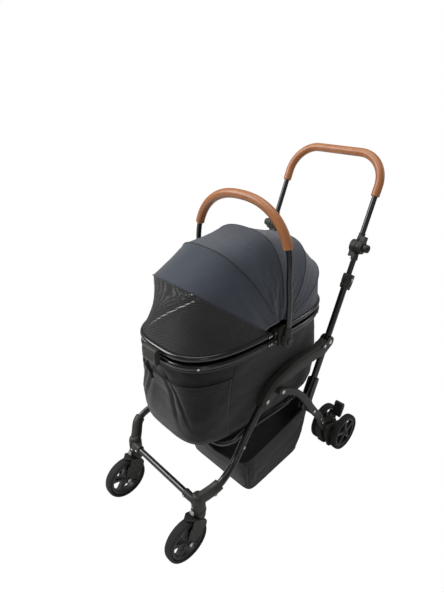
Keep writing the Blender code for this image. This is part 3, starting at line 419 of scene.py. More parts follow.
AXLE_Y, AXLE_Z, ROLL_R = -0.385, 0.070, 0.070
for tag, side in SIDES:
    x = side * FRONT_X
    arm = np.vstack([arc(AXLE_Y, AXLE_Z, 0.0132, -60, -200, 14), arc(AXLE_Y, AXLE_Z, 0.052, 84, 80, 2),
                     arc(AXLE_Y, AXLE_Z, 0.0768, 76, 38, 18),
                     [(AXLE_Y + 0.0640, AXLE_Z + 0.0380), (AXLE_Y + 0.0600, AXLE_Z + 0.0260),
                      (AXLE_Y + 0.0480, AXLE_Z + 0.0110), (AXLE_Y + 0.0300, AXLE_Z - 0.0030)]])
    parts = [plate(arm, x + s * 0.0176, x + s * 0.0211) for s in (-1, 1)]
    parts += [band(AXLE_Y, AXLE_Z, 0.0737, 0.0776, 34, 88, x, 0.0211)]
    boss = [(0, 0.019), (0.001, 0.0200), (0.006, 0.0205), (0.016, 0.0205), (0.0185, 0.0200), (0.0193, 0.0185),
            (0.0193, 0.005)]
    parts += [turned(boss, (x, SWIVEL_Y, 0.1300), (0, 0, 1))]
    parts += [turned(soft_edge(0.0034, 0.0098, 0.001), (x + s * 0.0208, AXLE_Y, AXLE_Z), (s, 0, 0), 6)
              for s in (-1, 1)]
    build(f"fork_body_{tag}", parts, PLASTIC, f"fork_{tag}", [f"fork_{tag}"], bevel=0.0012,
          crease=45)
    ends = [screw((x + s * 0.0238, AXLE_Y, AXLE_Z), (s, 0, 0), 0.0052, 0.003) for s in (-1, 1)]
    build(f"fork_axle_ends_{tag}", ends, BRIGHT, f"fork_{tag}")

# Swivel locks: little pale tabs that push down to hold the front wheels straight.
PALE = coat("pale grey nylon", (0.36, 0.36, 0.35), (0.22, 0.22, 0.21), 0.4, 0.45, 1200.0, 0.2)
for tag, side in SIDES:
    lock = [(-0.3562, 0.1620), (-0.3586, 0.1628), (-0.3604, 0.1605), (-0.3622, 0.1540), (-0.3618, 0.1516),
            (-0.3578, 0.1514), (-0.3566, 0.1535)]
    build(f"lock_tab_{tag}",
          [plate(spline(lock + lock[:1], 26)[:-1], side * FRONT_X - 0.0068, side * FRONT_X + 0.0068)], PALE,
          f"swivel_lock_{tag}", [f"swivel_lock_{tag}"], bevel=0.0008, crease=50)

# ---------------------------------------------------------------------------
# Wheels: a five-spoke nylon centre and a foam rubber tyre with fine tread
# grooves. The same pair serves at the front and, narrower, at the back.
WHEEL_GREY = coat("dark grey nylon", (0.021, 0.0214, 0.0202), (0.042, 0.042, 0.0403), 0.5, 0.4, 1300.0, 0.3)
RUBBER = coat("foam rubber", (0.014, 0.0145, 0.0145), (0.044, 0.042, 0.04), 0.55, 0.62, 2600.0, 0.5,
                Specular_IOR_Level=0.3)
SPOKES, BED_R = 5, 0.058


def tyre(centre, width, grooves=72):
    """A tyre's section turned round the axle; the tread third of the section
    dips a little wherever the cosine of grooves times the angle is low, and the
    dip leans across the width so the grooves run slightly askew."""
    w = width / 2
    q = np.linspace(0, 2 * np.pi, 36, endpoint=False)
    wide = w * swing(np.cos(q), 0.72)
    deep = (ROLL_R + BED_R) / 2 + (ROLL_R - BED_R) / 2 * swing(np.sin(q), 0.8)
    a = np.linspace(0, 2 * np.pi, grooves * 6, endpoint=False)[:, None]
    tread = np.clip((np.sin(q) - 0.55) / 0.3, 0, 1)
    slits = np.cos(grooves * a + 200 * wide) < -0.45
    shoulder = np.abs(np.sin(q) - 0.62) < 0.12
    dip = 0.0007 * tread * slits + 0.0006 * shoulder
    r = deep - dip
    return skin(np.stack([centre[0] + wide + 0 * a, centre[1] + r * np.cos(a), centre[2] + r * np.sin(a)],
                         -1),
                wrap_rows=True, wrap_cols=True)


def wheel_centre(centre, width):
    """Rim bed, hub and spokes. Each spoke is a tapered bar whose half width
    shrinks and then flares as the square of the distance from its middle."""
    hub_half, bed_half = width / 2 + 0.0012, width * 0.37
    c = np.array(centre, float)
    bed = [(-bed_half, BED_R - 0.0004), (-bed_half, BED_R - 0.0065), (-bed_half + 0.0015, BED_R - 0.0082),
           (0, BED_R - 0.0072), (bed_half - 0.0015, BED_R - 0.0082), (bed_half, BED_R - 0.0065),
           (bed_half, BED_R - 0.0004)]
    a = np.linspace(0, 2 * np.pi, 90, endpoint=False)[:, None]
    s, r = np.array(bed).T
    ring = skin(np.stack([c[0] + s + 0 * a, c[1] + r * np.cos(a), c[2] + r * np.sin(a)], -1), wrap_rows=True,
                wrap_cols=True)
    hub = turned([(-hub_half, 0.006), (-hub_half, 0.0105), (-hub_half + 0.0012, 0.0118),
                  (-hub_half * 0.55, 0.0142), (hub_half * 0.55, 0.0142), (hub_half - 0.0012, 0.0118),
                  (hub_half, 0.0105), (hub_half, 0.006)],
                 c, (1, 0, 0), 48)
    shapes = [ring, hub]
    for k in range(SPOKES):
        turn_to = 2 * np.pi * (k + 0.25) / SPOKES
        radial = np.linspace(0.011, BED_R - 0.006, 12)
        middle = (radial - 0.030) / 0.020
        half = 0.0052 + 0.0032 * middle ** 2
        thick = np.interp(radial, [0.011, BED_R - 0.006], [hub_half * 0.78, bed_half * 0.86])
        q = np.linspace(0, 2 * np.pi, 16, endpoint=False)
        across = swing(np.cos(q), 0.45)
        deep = swing(np.sin(q), 0.45)
        side_step = half[:, None] * across
        y = c[1] + radial[:, None] * math.cos(turn_to) - side_step * math.sin(turn_to)
        z = c[2] + radial[:, None] * math.sin(turn_to) + side_step * math.cos(turn_to)
        shapes.append(skin(np.stack([c[0] + thick[:, None] * deep, y, z], -1), wrap_cols=True, caps=True))
    return shapes


for tag, side in SIDES:
    place = (side * FRONT_X, AXLE_Y, AXLE_Z)
    build(f"front_wheel_centre_{tag}", wheel_centre(place, 0.030), WHEEL_GREY, f"front_wheel_{tag}",
          [f"front_rim_{tag}"])
    build(f"front_tread_{tag}", [tyre(place, 0.030)], RUBBER, f"front_wheel_{tag}",
          [f"front_tyre_{tag}"], crease=25)

# ---------------------------------------------------------------------------
# Arches: inverted nylon channels, chamfered along the top, that clamp the front
# legs at one end and hold the push tubes between two ears at the other.
PUSH_ROOT, SLOPE = (0.2108, 0.4872), math.radians(67.39)


def push_point(s, n=0.0):
    """(y, z) at distance s up the push tube and n behind it."""
    c, k = math.cos(SLOPE), math.sin(SLOPE)
    return PUSH_ROOT[0] + s * c + n * k, PUSH_ROOT[1] + s * k - n * c


ARCH_TOP = [(-0.110, 0.408), (-0.097, 0.4305), (-0.078, 0.4500), (-0.045, 0.4705), (-0.010, 0.4840),
            (0.040, 0.4957), (0.090, 0.5010), (0.140, 0.501), (0.178, 0.500), (0.200, 0.507)]
ARCH_LOW = [(-0.084, 0.3925), (-0.073, 0.405), (-0.058, 0.420), (-0.035, 0.435), (-0.005, 0.446),
            (0.040, 0.4545), (0.090, 0.4600), (0.140, 0.4620), (0.178, 0.4620), (0.206, 0.472)]
PIVOT = push_point(0.010)
for tag, side in SIDES:
    top, low = spline(ARCH_TOP, 80), spline(ARCH_LOW, 80)
    depth = np.linalg.norm(top - low, axis=1)[:, None]
    rise = (top - low) / depth
    half_out = np.array([0.0160, 0.0162, 0.0162, 0.0162, 0.0156, 0.0130, 0.0112, 0.0100, -0.0100, -0.0112,
                         -0.0130, -0.0156, -0.0162, -0.0162, -0.0162, -0.0160, -0.0124, -0.0119, -0.0118,
                         -0.0112, 0.0112, 0.0118, 0.0119, 0.0124])
    from_low = [0.0000, 0.0008, 0.012, None, -0.0108, -0.0042, -0.0012, -0.0000, -0.0000, -0.0012, -0.0042,
                -0.0108, None, 0.012, 0.0008, 0.0000, 0.0000, 0.0008, -0.0080, -0.0062, -0.0062, -0.0080,
                0.0008, 0.0000]
    reach = np.hstack([depth * 0.6 if v is None else (np.full_like(depth, v) if v >= 0 and k not in (7, 8)
                                                      else depth + v) for k,
                       v in enumerate(from_low)])
    yz = low[:, None] + rise[:, None] * reach[..., None]
    channel = skin(np.concatenate([np.broadcast_to(side * (SIDE_X + half_out), reach.shape)[..., None], yz],
                                  -1),
                   wrap_cols=True, caps=True)
    ear = np.vstack([arc(*PIVOT, 0.0185, 150, -60, 22),
                     [(0.190, 0.462), (0.172, 0.4575), (0.172, 0.4990), (0.186, 0.5000)]])
    ears = [plate(ear, side * (SIDE_X + s * 0.0118), side * (SIDE_X + s * 0.0161)) for s in (-1, 1)]
    build(f"arch_channel_{tag}", [channel, *ears], PLASTIC, "frame", [f"arch_{tag}"],
          bevel=0.0009, crease=40)
    pins = [screw((side * (SIDE_X + 0.0161), y, z), (side, 0, 0), r) for y, z, r in
            ((*PIVOT, 0.0058), (0.1854, 0.4925, 0.0046), (-0.0865, 0.4190, 0.0050))]
    pins += [screw((side * (SIDE_X - 0.0161), y, z), (-side, 0, 0), 0.0046) for y,
             z in (PIVOT, (-0.0865, 0.4190))]
    pins += [screw((side * 0.1920, -0.184, 0.3085), (side, -0.2, 0.1), 0.0036)]
    build(f"arch_screws_{tag}", pins, BRIGHT, "frame")

# ---------------------------------------------------------------------------
# Push tubes and their telescope clamps: a black tube each side, with a moulded
# collar on top and a quick lever behind it that squeezes the inner tube.


def push_line(s_values, x):
    """Points on the push tube's axis at the given distances."""
    return [(x, *push_point(s)) for s in s_values]


DOWN_LINE = (0, math.cos(SLOPE), math.sin(SLOPE))
for tag, side in SIDES:
    x = side * SIDE_X
    build(f"outer_tube_{tag}",
          [turned([(-0.234, 0.0088), (-0.235, 0.0100), (-0.234, 0.0105), (0.195, 0.0105), (0.195, 0.0088)],
                  (x, *PUSH_ROOT), DOWN_LINE, 36)],
          BLACK_PAINT, "push_frame", [f"push_tube_{tag}"])
    collar = [(0.1890, 0.0108), (0.1895, 0.0140), (0.1935, 0.0160), (0.2030, 0.0165), (0.2050, 0.0158),
              (0.2080, 0.0158), (0.2100, 0.0165), (0.2310, 0.0165), (0.2355, 0.0158), (0.2370, 0.0140),
              (0.2372, 0.0090)]
    parts = [turned(collar, (x, *PUSH_ROOT), DOWN_LINE)]
    lug = [push_point(s, n) for s,
           n in ((0.2070, 0.010), (0.2070, 0.0172), (0.2340, 0.0172), (0.2340, 0.010))]
    parts += [plate(lug, x - 0.0085, x + 0.0085)]
    build(f"clamp_collar_{tag}", parts, PLASTIC, "push_frame", bevel=0.0012)
    lever = [(0.2350, 0.0178), (0.2350, 0.0240), (0.2270, 0.0255), (0.2110, 0.0250), (0.1970, 0.0225),
             (0.1870, 0.0200), (0.1865, 0.0180), (0.1990, 0.0178)]
    outline = spline([push_point(s, n) for s, n in lever + lever[:1]], 40)[:-1]
    build(f"quick_lever_{tag}", [plate(outline, x - 0.0098, x + 0.0098)], PLASTIC, f"clamp_lever_{tag}",
          [f"clamp_lever_{tag}"], bevel=0.0014)
    build(f"clamp_screw_{tag}",
          [screw((x + side * 0.0160, *push_point(0.2210, 0.004)), (side, 0, 0), 0.0042)], BRIGHT,
          "push_frame")

# ---------------------------------------------------------------------------
# Inner tubes, tilt knuckles and handlebar: the inner tubes slide in the outer
# ones. Toothed drums with side buttons let the bent bar above them tip.
KNUCKLE_S, KNUCKLE_R = 0.327, 0.021
HUB = push_point(KNUCKLE_S)


def drum(side, x0, x1, low_s, high_s, upper):
    """One half of a knuckle: a disc on the tilt axis with a stem along the tube."""
    lean_deg = math.degrees(SLOPE)
    a0, a1 = (lean_deg + 30, lean_deg + 330) if upper else (lean_deg - 150, lean_deg + 150)
    round_part = arc(*HUB, KNUCKLE_R, a0, a1, 40)
    stem = [push_point(high_s, 0.0103),
            push_point(high_s, -0.0103)] if upper else [push_point(low_s, -0.0103), push_point(low_s, 0.0103)]
    return plate(np.vstack([round_part, stem]), side * x0, side * x1)


for tag, side in SIDES:
    x = side * SIDE_X
    build(f"inner_slide_{tag}",
          [tube(push_line(np.linspace(0.055, KNUCKLE_S - KNUCKLE_R - 0.0015, 6), x), 0.0085, (1, 0, 0))],
          BLACK_PAINT, "handle_slide", [f"inner_tube_{tag}"])
    build(f"knuckle_low_{tag}",
          [drum(side, SIDE_X - 0.0205, SIDE_X - 0.0006, KNUCKLE_S - KNUCKLE_R - 0.014, 0, False),
           turned([(-0.0006, 0.0214), (0.0030, 0.0222), (0.0085, 0.0222), (0.0140, 0.0205), (0.0185, 0.0172),
                   (0.0208, 0.0120), (0.0214, 0.004)],
                  (side * (SIDE_X - 0.0008), *HUB), (-side, 0, 0)),
           turned(soft_edge(0.022, 0.0116, 0.002), (x, *push_point(KNUCKLE_S - KNUCKLE_R - 0.0225)),
                  DOWN_LINE)],
          PLASTIC, "handle_slide", bevel=0.0016, crease=40)
    build(f"knuckle_high_{tag}",
          [drum(side, SIDE_X + 0.0006, SIDE_X + 0.0188, 0, KNUCKLE_S + KNUCKLE_R + 0.014, True),
           turned([(-0.0004, 0.0214), (0.0030, 0.0224), (0.0090, 0.0224), (0.0145, 0.0208), (0.0180, 0.0184),
                   (0.0192, 0.0160), (0.0192, 0.0140)],
                  (side * (SIDE_X + 0.0010), *HUB), (side, 0, 0)),
           turned(soft_edge(0.022, 0.0116, 0.002), (x, *push_point(KNUCKLE_S + KNUCKLE_R + 0.0005)),
                  DOWN_LINE)],
          PLASTIC, "push_handle", bevel=0.0016, crease=40)
    button = [(0, 0.008), (0, 0.0128), (0.0150, 0.0128), (0.0168, 0.0120), (0.0176, 0.0104), (0.0178, 0.0086),
              (0.0170, 0.0078), (0.0170, 0.002)]
    build(f"tilt_button_{tag}",
          [turned(button, (side * (SIDE_X + 0.0194), *HUB), (side, 0, 0)),
           turned(soft_edge(0.0030, 0.0062, 0.0010), (side * (SIDE_X + 0.0365), *HUB), (side, 0, 0), 32)],
          PLASTIC, f"knuckle_button_{tag}", [f"knuckle_button_{tag}"])

GRIP_S, TOP_S, BEND_R = 0.4865, 0.615, 0.095


def handle_line():
    """Straight up one side, a quarter circle, across, and down the other side,
    all in the sloping plane of the push tubes."""
    xc, sc = SIDE_X - BEND_R, TOP_S - BEND_R
    a = np.linspace(0, np.pi / 2, 22)
    start = np.linspace(KNUCKLE_S + KNUCKLE_R + 0.0015, sc, 16, endpoint=False)
    x = np.concatenate([np.full(16, SIDE_X), xc + BEND_R * np.cos(a), np.linspace(xc, -xc, 14)[1:-1]])
    s = np.concatenate([start, sc + BEND_R * np.sin(a), np.full(12, TOP_S)])
    x, s = np.concatenate([x, -x[:38][::-1]]), np.concatenate([s, s[:38][::-1]])
    y, z = push_point(s)
    return np.column_stack([x, y, z]), s


bar_line, bar_s = handle_line()
PUSH_NORMAL = (0, math.sin(SLOPE), -math.cos(SLOPE))
build("handle_bar", [tube(bar_line, 0.0085, PUSH_NORMAL)], BLACK_PAINT, "push_handle",
      ["handlebar"])


def leather_group():
    """Tan leatherette: colour clouded by slow noise, and darkened in the creases
    between rounded cells as painted shade; the cells give the grain."""
    group, given, out = new_group("leather grain",
                                  [("Colour", "Color", (0.4, 0.2, 0.1, 1)),
                                   ("Dark", "Color", (0.2, 0.1, 0.05, 1)), ("Cells", "Float", 520.0),
                                   ("Depth", "Float", 0.5)],
                                  [("Colour", "Color"), ("Roughness", "Float"), ("Normal", "Vector")])
    place = node(group, "TexCoord").outputs["Object"]
    cells = node(group, "TexVoronoi",
                 [("Vector", place), ("Scale", given.outputs["Cells"]), ("Smoothness", 0.7)],
                 feature="SMOOTH_F1")
    cloud = node(group, "TexNoise",
                 [("Vector", place), ("Scale", 26.0), ("Detail", 6.0), ("Roughness", 0.65)])
    # The creases between the cells are painted darker in the colour below: painted shade. The slow cloud
    # patches are random tone.
    crease = node(group, "MapRange",
                  [("Value", cells.outputs["Distance"]), ("From Min", 0.35), ("From Max", 0.75)])
    patch = node(group, "MapRange", [("Value", cloud.outputs["Fac"]), ("From Min", 0.35), ("From Max", 0.75)])
    share = node(group, "Math", [(0, crease.outputs[0]), (1, 0.45), (2, patch.outputs[0])],
                 operation="MULTIPLY_ADD")
    share = node(group, "Math", [(0, share.outputs[0]), (1, 0.55)], operation="MULTIPLY")
    mix = node(group, "MixRGB",
               [("Fac", share.outputs[0]), ("Color1", given.outputs["Colour"]),
                ("Color2", given.outputs["Dark"])])
    rough = node(group, "MapRange", [("Value", cloud.outputs["Fac"]), ("To Min", 0.30), ("To Max", 0.46)])
    low = node(group, "Math", [(0, 1.0), (1, crease.outputs[0])], operation="SUBTRACT")
    bump = node(group, "Bump",
                [("Strength", given.outputs["Depth"]), ("Distance", 0.0005), ("Height", low.outputs[0])])
    return wired(group, out, Colour=mix, Roughness=rough, Normal=bump)


LEATHER = finish("tan leatherette", leather_group(),
                 {"Colour": (0.43, 0.165, 0.055), "Dark": (0.27, 0.085, 0.026), "Cells": 620.0, "Depth": 0.3},
                 Specular_IOR_Level=0.5, Coat_Weight=0.15, Coat_Roughness=0.3)
THREAD = coat("tan thread", (0.55, 0.33, 0.16), (0.35, 0.2, 0.1), 0.5, 0.7, 3000.0, 0.5)


def stitches(path, offset, across, radius, pitch=0.0052, gap=0.28):
    """A row of stitches: short thick threads end to end, set off from a path at
    the given angle round it."""
    p = np.array(path, float)
    run = np.concatenate([[0], np.cumsum(np.linalg.norm(np.diff(p, axis=0), axis=1))])
    step = np.gradient(p, axis=0)
    step /= np.linalg.norm(step, axis=1)[:, None]
    one = np.cross(step, across)
    one /= np.linalg.norm(one, axis=1)[:, None]
    two = np.cross(step, one)
    out = math.cos(offset) * one + math.sin(offset) * two
    line = p + out * radius
    count = int(run[-1] / pitch)
    shapes = []
    for k in range(count):
        t = np.linspace(k * pitch + pitch * gap / 2, (k + 1) * pitch - pitch * gap / 2, 4)
        bulge = np.array([-0.0003, 0.0003, 0.0003, -0.0003])
        spot = np.column_stack([np.interp(t, run, line[:, i]) + bulge * np.interp(t, run, out[:, i])
                                for i in range(3)])
        shapes.append(tube(spot, np.array([0.0002, 0.00042, 0.00042, 0.0002]), across, 6))
    return shapes


def grip(name, path, radius, across, body, node_name, seam):
    """A leatherette sleeve round a bar: its radius falls off at the soft ends and
    dips in a shallow ring near each, and a row of stitches runs along it."""
    p = np.array(path, float)
    run = np.concatenate([[0], np.cumsum(np.linalg.norm(np.diff(p, axis=0), axis=1))])
    fine = np.sort(np.concatenate([np.linspace(0, run[-1], 220), [0.0004, 0.0010, 0.0018],
                                   run[-1] - np.array([0.0004, 0.0010, 0.0018])]))
    line = np.column_stack([np.interp(fine, run, p[:, i]) for i in range(3)])
    edge = np.minimum(fine, run[-1] - fine)
    soft_end = 0.0022 * np.clip(1 - edge / 0.0022, 0, 1) ** 2
    ring_dip = 0.0006 * np.exp(-((edge - 0.0085) / 0.0011) ** 2)
    r = radius - soft_end - ring_dip
    build(name, [tube(line, r, across, 40)], LEATHER, body, [node_name], crease=60)
    threads = stitches(line[3:-3], seam, across, radius + 0.0001)
    build(name + "_thread", threads, THREAD, body)


on_grip = (bar_s > GRIP_S - 0.001)
grip("push_grip", bar_line[on_grip], 0.0135, PUSH_NORMAL, "push_handle", "handlebar_grip", math.radians(-60))

# ---------------------------------------------------------------------------
# Rear legs: curved flat nylon legs that pivot on the outside of the arches and
# run down between the twin wheels, with bright screws along them.
LEG_PIVOT, SLEEVE_PIN = (-0.032, 0.433), (0.1435, 0.260)
LEG_X, LEG_T, FOOT_X = 0.1978, 0.013, 0.1840
BACK_Y, BACK_X = 0.327, 0.1766


def rail(path, half_depth, half_width, power=0.35, ring=28):
    """A bar with a rounded-rectangle section carried along a path in side view:
    the section is a superellipse, wide across X and deep square to the path."""
    p = np.array(path, float)
    step = np.gradient(p[:, 1:], axis=0)
    step /= np.linalg.norm(step, axis=1)[:, None]
    a = np.linspace(0, 2 * np.pi, ring, endpoint=False)
    wide = swing(np.cos(a), power) * half_width
    deep = swing(np.sin(a), power) * np.asarray(half_depth, float)[:, None]
    return skin(np.stack([p[:, :1] + wide, p[:, 1:2] - step[:, 1:] * deep, p[:, 2:3] + step[:, :1] * deep],
                         -1),
                wrap_cols=True, caps=True)


for tag, side in SIDES:
    (ly, lz), (py, pz), x = LEG_PIVOT, SLEEVE_PIN, side * LEG_X
    foot = side * FOOT_X
    line = [(x, ly - 0.018, lz + 0.006), (x, ly - 0.014, lz + 0.005), (x, ly, lz),
            (x, ly + 0.032, lz - 0.015), (x, ly + 0.082, lz - 0.050), (x, py - 0.0435, pz + 0.062),
            (x, py, pz + 0.002), (x, py + 0.012, pz - 0.013), ((x + foot) / 2, 0.197, 0.1975),
            (foot, 0.228, 0.147), (foot, 0.250, 0.113)]
    path = spline(line, 90)
    deep = np.interp(np.linspace(0, len(line) - 1, 90), range(len(line)),
                     [0.003, 0.0080, 0.0108, 0.0108, 0.0110, 0.0120, 0.0130, 0.0130, 0.0130, 0.0125, 0.0110])
    build(f"leg_rail_{tag}", [rail(path, deep, LEG_T / 2)], PLASTIC, "rear_legs",
          [f"rear_leg_{tag}"])
    heads = [((ly, lz + 0.001), x + side * LEG_T / 2, 0.0050), (SLEEVE_PIN, x + side * LEG_T / 2, 0.0044),
             ((0.2075, 0.183), side * (0.1870 + LEG_T / 2), 0.0036),
             ((0.224, 0.156), side * (FOOT_X + LEG_T / 2), 0.0036)]
    build(f"leg_screws_{tag}", [screw((at, *yz), (side, 0, 0), r) for yz, at, r in heads], BRIGHT,
          "rear_legs")

# Twin-wheel housings: a moulded case between each pair of rear wheels, with the
# brake inside and a raised cover plate; one steel axle runs right across.
for tag, side in SIDES:
    y, z = BACK_Y, AXLE_Z
    case = [(y - 0.059, z - 0.046), (y - 0.037, z - 0.054), (y - 0.008, z - 0.044), (y + 0.010, z - 0.026),
            (y + 0.018, z + 0.004), (y + 0.010, z + 0.030), (y - 0.012, z + 0.041), (y - 0.045, z + 0.048),
            (y - 0.077, z + 0.057), (y - 0.090, z + 0.046), (y - 0.084, z + 0.014), (y - 0.071, z - 0.020)]
    ring = spline(case + case[:1], 70)[:-1]
    inner = (ring - ring.mean(0)) * 0.78 + ring.mean(0)
    x0, x1 = side * (BACK_X - 0.0240), side * (BACK_X + 0.0240)
    near, far = side * (FOOT_X - LEG_T / 2 - 0.0006), side * (FOOT_X + LEG_T / 2 + 0.0006)
    parts = [plate(ring, x0, near), plate(ring, far, x1),
             plate((ring - (y, z)) * (0.55, 0.5) + (y, z), near, far), plate(inner, x1, x1 + side * 0.0016),
             plate(inner, x0, x0 - side * 0.0016)]
    parts += [turned(soft_edge(0.0035, 0.0165, 0.001), (x1, y, z), (side, 0, 0)),
              turned(soft_edge(0.0035, 0.0165, 0.001), (x0, y, z), (-side, 0, 0))]
    build(f"housing_case_{tag}", parts, PLASTIC, "rear_legs", [f"rear_housing_{tag}"],
          bevel=0.0013, crease=40)
    pins = [screw((x1 + side * 0.0014, y - 0.052, z + 0.006), (side, 0, 0), 0.0032),
            screw((x1 + side * 0.0014, y - 0.044, z - 0.036), (side, 0, 0), 0.0028)]
    build(f"housing_screws_{tag}", pins, BRIGHT, "rear_legs")
    for where, dx in (("inner", -0.043), ("outer", 0.043)):
        place = (side * (BACK_X + dx), y, z)
        build(f"rear_wheel_centre_{where}_{tag}", wheel_centre(place, 0.024), WHEEL_GREY,
              f"rear_wheel_{where}_{tag}", [f"rear_rim_{where}_{tag}"])
        build(f"rear_tread_{where}_{tag}", [tyre(place, 0.024)], RUBBER, f"rear_wheel_{where}_{tag}",
              [f"rear_tyre_{where}_{tag}"], crease=25)
    cap = side * (BACK_X + 0.043 + 0.0135)
    build(f"axle_cap_{tag}", [screw((cap, y, z), (side, 0, 0), 0.0062, 0.003)], PLASTIC, "rear_legs")
    by, bz = y + 0.011, z + 0.0515
    pedal = np.vstack([arc(by, bz, 0.0073, 160, 330, 12),
                       [(by + 0.014, bz + 0.012), (by + 0.0215, bz + 0.028), (by + 0.0225, bz + 0.038),
                        (by + 0.0195, bz + 0.0455), (by + 0.0125, bz + 0.0485), (by + 0.0060, bz + 0.0450),
                        (by + 0.0035, bz + 0.036), (by - 0.003, bz + 0.014)]])
    build(f"brake_paddle_{tag}", [plate(pedal, side * (BACK_X - 0.0175), side * (BACK_X + 0.0175))], PLASTIC,
          f"brake_pedal_{tag}", [f"brake_pedal_{tag}"], bevel=0.0028, segments=4)
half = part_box("rear_axle")[1][0]
build("axle_rod", [tube([(x, BACK_Y, AXLE_Z) for x in (-half, -0.1, 0, 0.1, half)], 0.005, (0, 0, 1))],
      BRIGHT, "rear_legs", ["rear_axle"])

# Slide sleeves: open nylon channels that follow the lower ends of the push tubes
# and swing on pins through the rear legs. The right one has the fold latch.
for tag, side in SIDES:
    x = side * SIDE_X
    c, k = math.cos(SLOPE), math.sin(SLOPE)
    dy, dz = SLEEVE_PIN[0] - PUSH_ROOT[0], SLEEVE_PIN[1] - PUSH_ROOT[1]
    s_pin, n_pin = dy * c + dz * k, dy * k - dz * c
    s0, s1, wall = s_pin - 0.001, s_pin + 0.113, 0.0149
    shapes = []
    stations = np.linspace(s0, s1, 24)
    u_shape = [(-0.0130, 0.0112), (-0.0130, wall), (0.0060, wall), (0.0128, 0.0136), (0.0160, 0.0100),
               (0.0166, 0), (0.0160, -0.0100), (0.0128, -0.0136), (0.0060, -wall), (-0.0130, -wall),
               (-0.0130, -0.0112), (0.0080, -0.0111), (0.0128, -0.0072), (0.0132, 0), (0.0128, 0.0072),
               (0.0080, 0.0111)]
    n_of, x_of = np.array(u_shape).T
    swell = 1 - 0.10 * np.clip((stations - s1 + 0.008) / 0.008, 0, 1)
    yz = np.array([push_point(s, 0) for s in stations])
    grid = np.stack([x + x_of * swell[:, None] ** 0.5 + 0 * yz[:, :1], yz[:, :1] + n_of * k,
                     yz[:, 1:] - n_of * c],
                    -1)
    shapes.append(skin(grid, wrap_cols=True, caps=True))
    lug = [push_point(s_pin + 0.032, 0.0150), push_point(s_pin - 0.001, 0.0150)]
    lug += [push_point(s_pin + 0.0105 * math.sin(a), n_pin + 0.0105 * math.cos(a))
            for a in np.linspace(-1.5, 1.3, 12)]
    shapes.append(plate(lug, side * (SIDE_X - 0.008), side * (LEG_X - LEG_T / 2 - 0.0010)))
    build(f"sleeve_channel_{tag}", shapes, PLASTIC, f"slide_sleeve_{tag}",
          [f"slide_sleeve_{tag}"], bevel=0.0008, crease=45)
lever = [(0.030, 0.0100), (0.033, 0.0040), (0.045, 0.0015), (0.070, 0.0010), (0.084, 0.0015), (0.088, 0.0060),
         (0.078, 0.0115), (0.060, 0.0150), (0.042, 0.0165), (0.033, 0.0145)]
outline = spline([push_point(s_pin + s, n) for s, n in lever + lever[:1]], 44)[:-1]
build("fold_lever", [plate(outline, SIDE_X - 0.0200, SIDE_X - 0.0156)], PALE, "fold_latch",
      ["fold_latch"], bevel=0.0012)

# Cradle: one closed loop of thin black tube under the carrier, its front turned
# down into a U that also holds the basket.
low_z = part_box("cradle_bar")[1][2] - 0.006
rail_x = 0.1530
half_loop = [(0, 0.122, low_z), (rail_x * 0.60, 0.120, low_z), (rail_x * 0.93, 0.100, low_z),
             (rail_x, 0.060, low_z), (rail_x, -0.04, low_z), (rail_x, -0.115, low_z),
             (rail_x * 0.985, -0.152, low_z - 0.004), (rail_x * 0.86, -0.170, low_z - 0.035),
             (rail_x * 0.55, -0.186, low_z - 0.066), (0, -0.193, low_z - 0.077)]
one_side = spline(half_loop, 80)
loop = np.vstack([one_side, (one_side * (-1, 1, 1))[-2:0:-1]])
build("cradle_loop", [tube(loop, 0.0060, (0, 0.25, 1), 20, closed=True)], BLACK_PAINT, "frame",
      ["cradle_bar"])

# ---------------------------------------------------------------------------
# Storage basket: a tub of black polyester hung from the frame. The cloth sags
# between its hanging points and folds softly down the sides; a piping runs
# round the top hem and down the front corners.


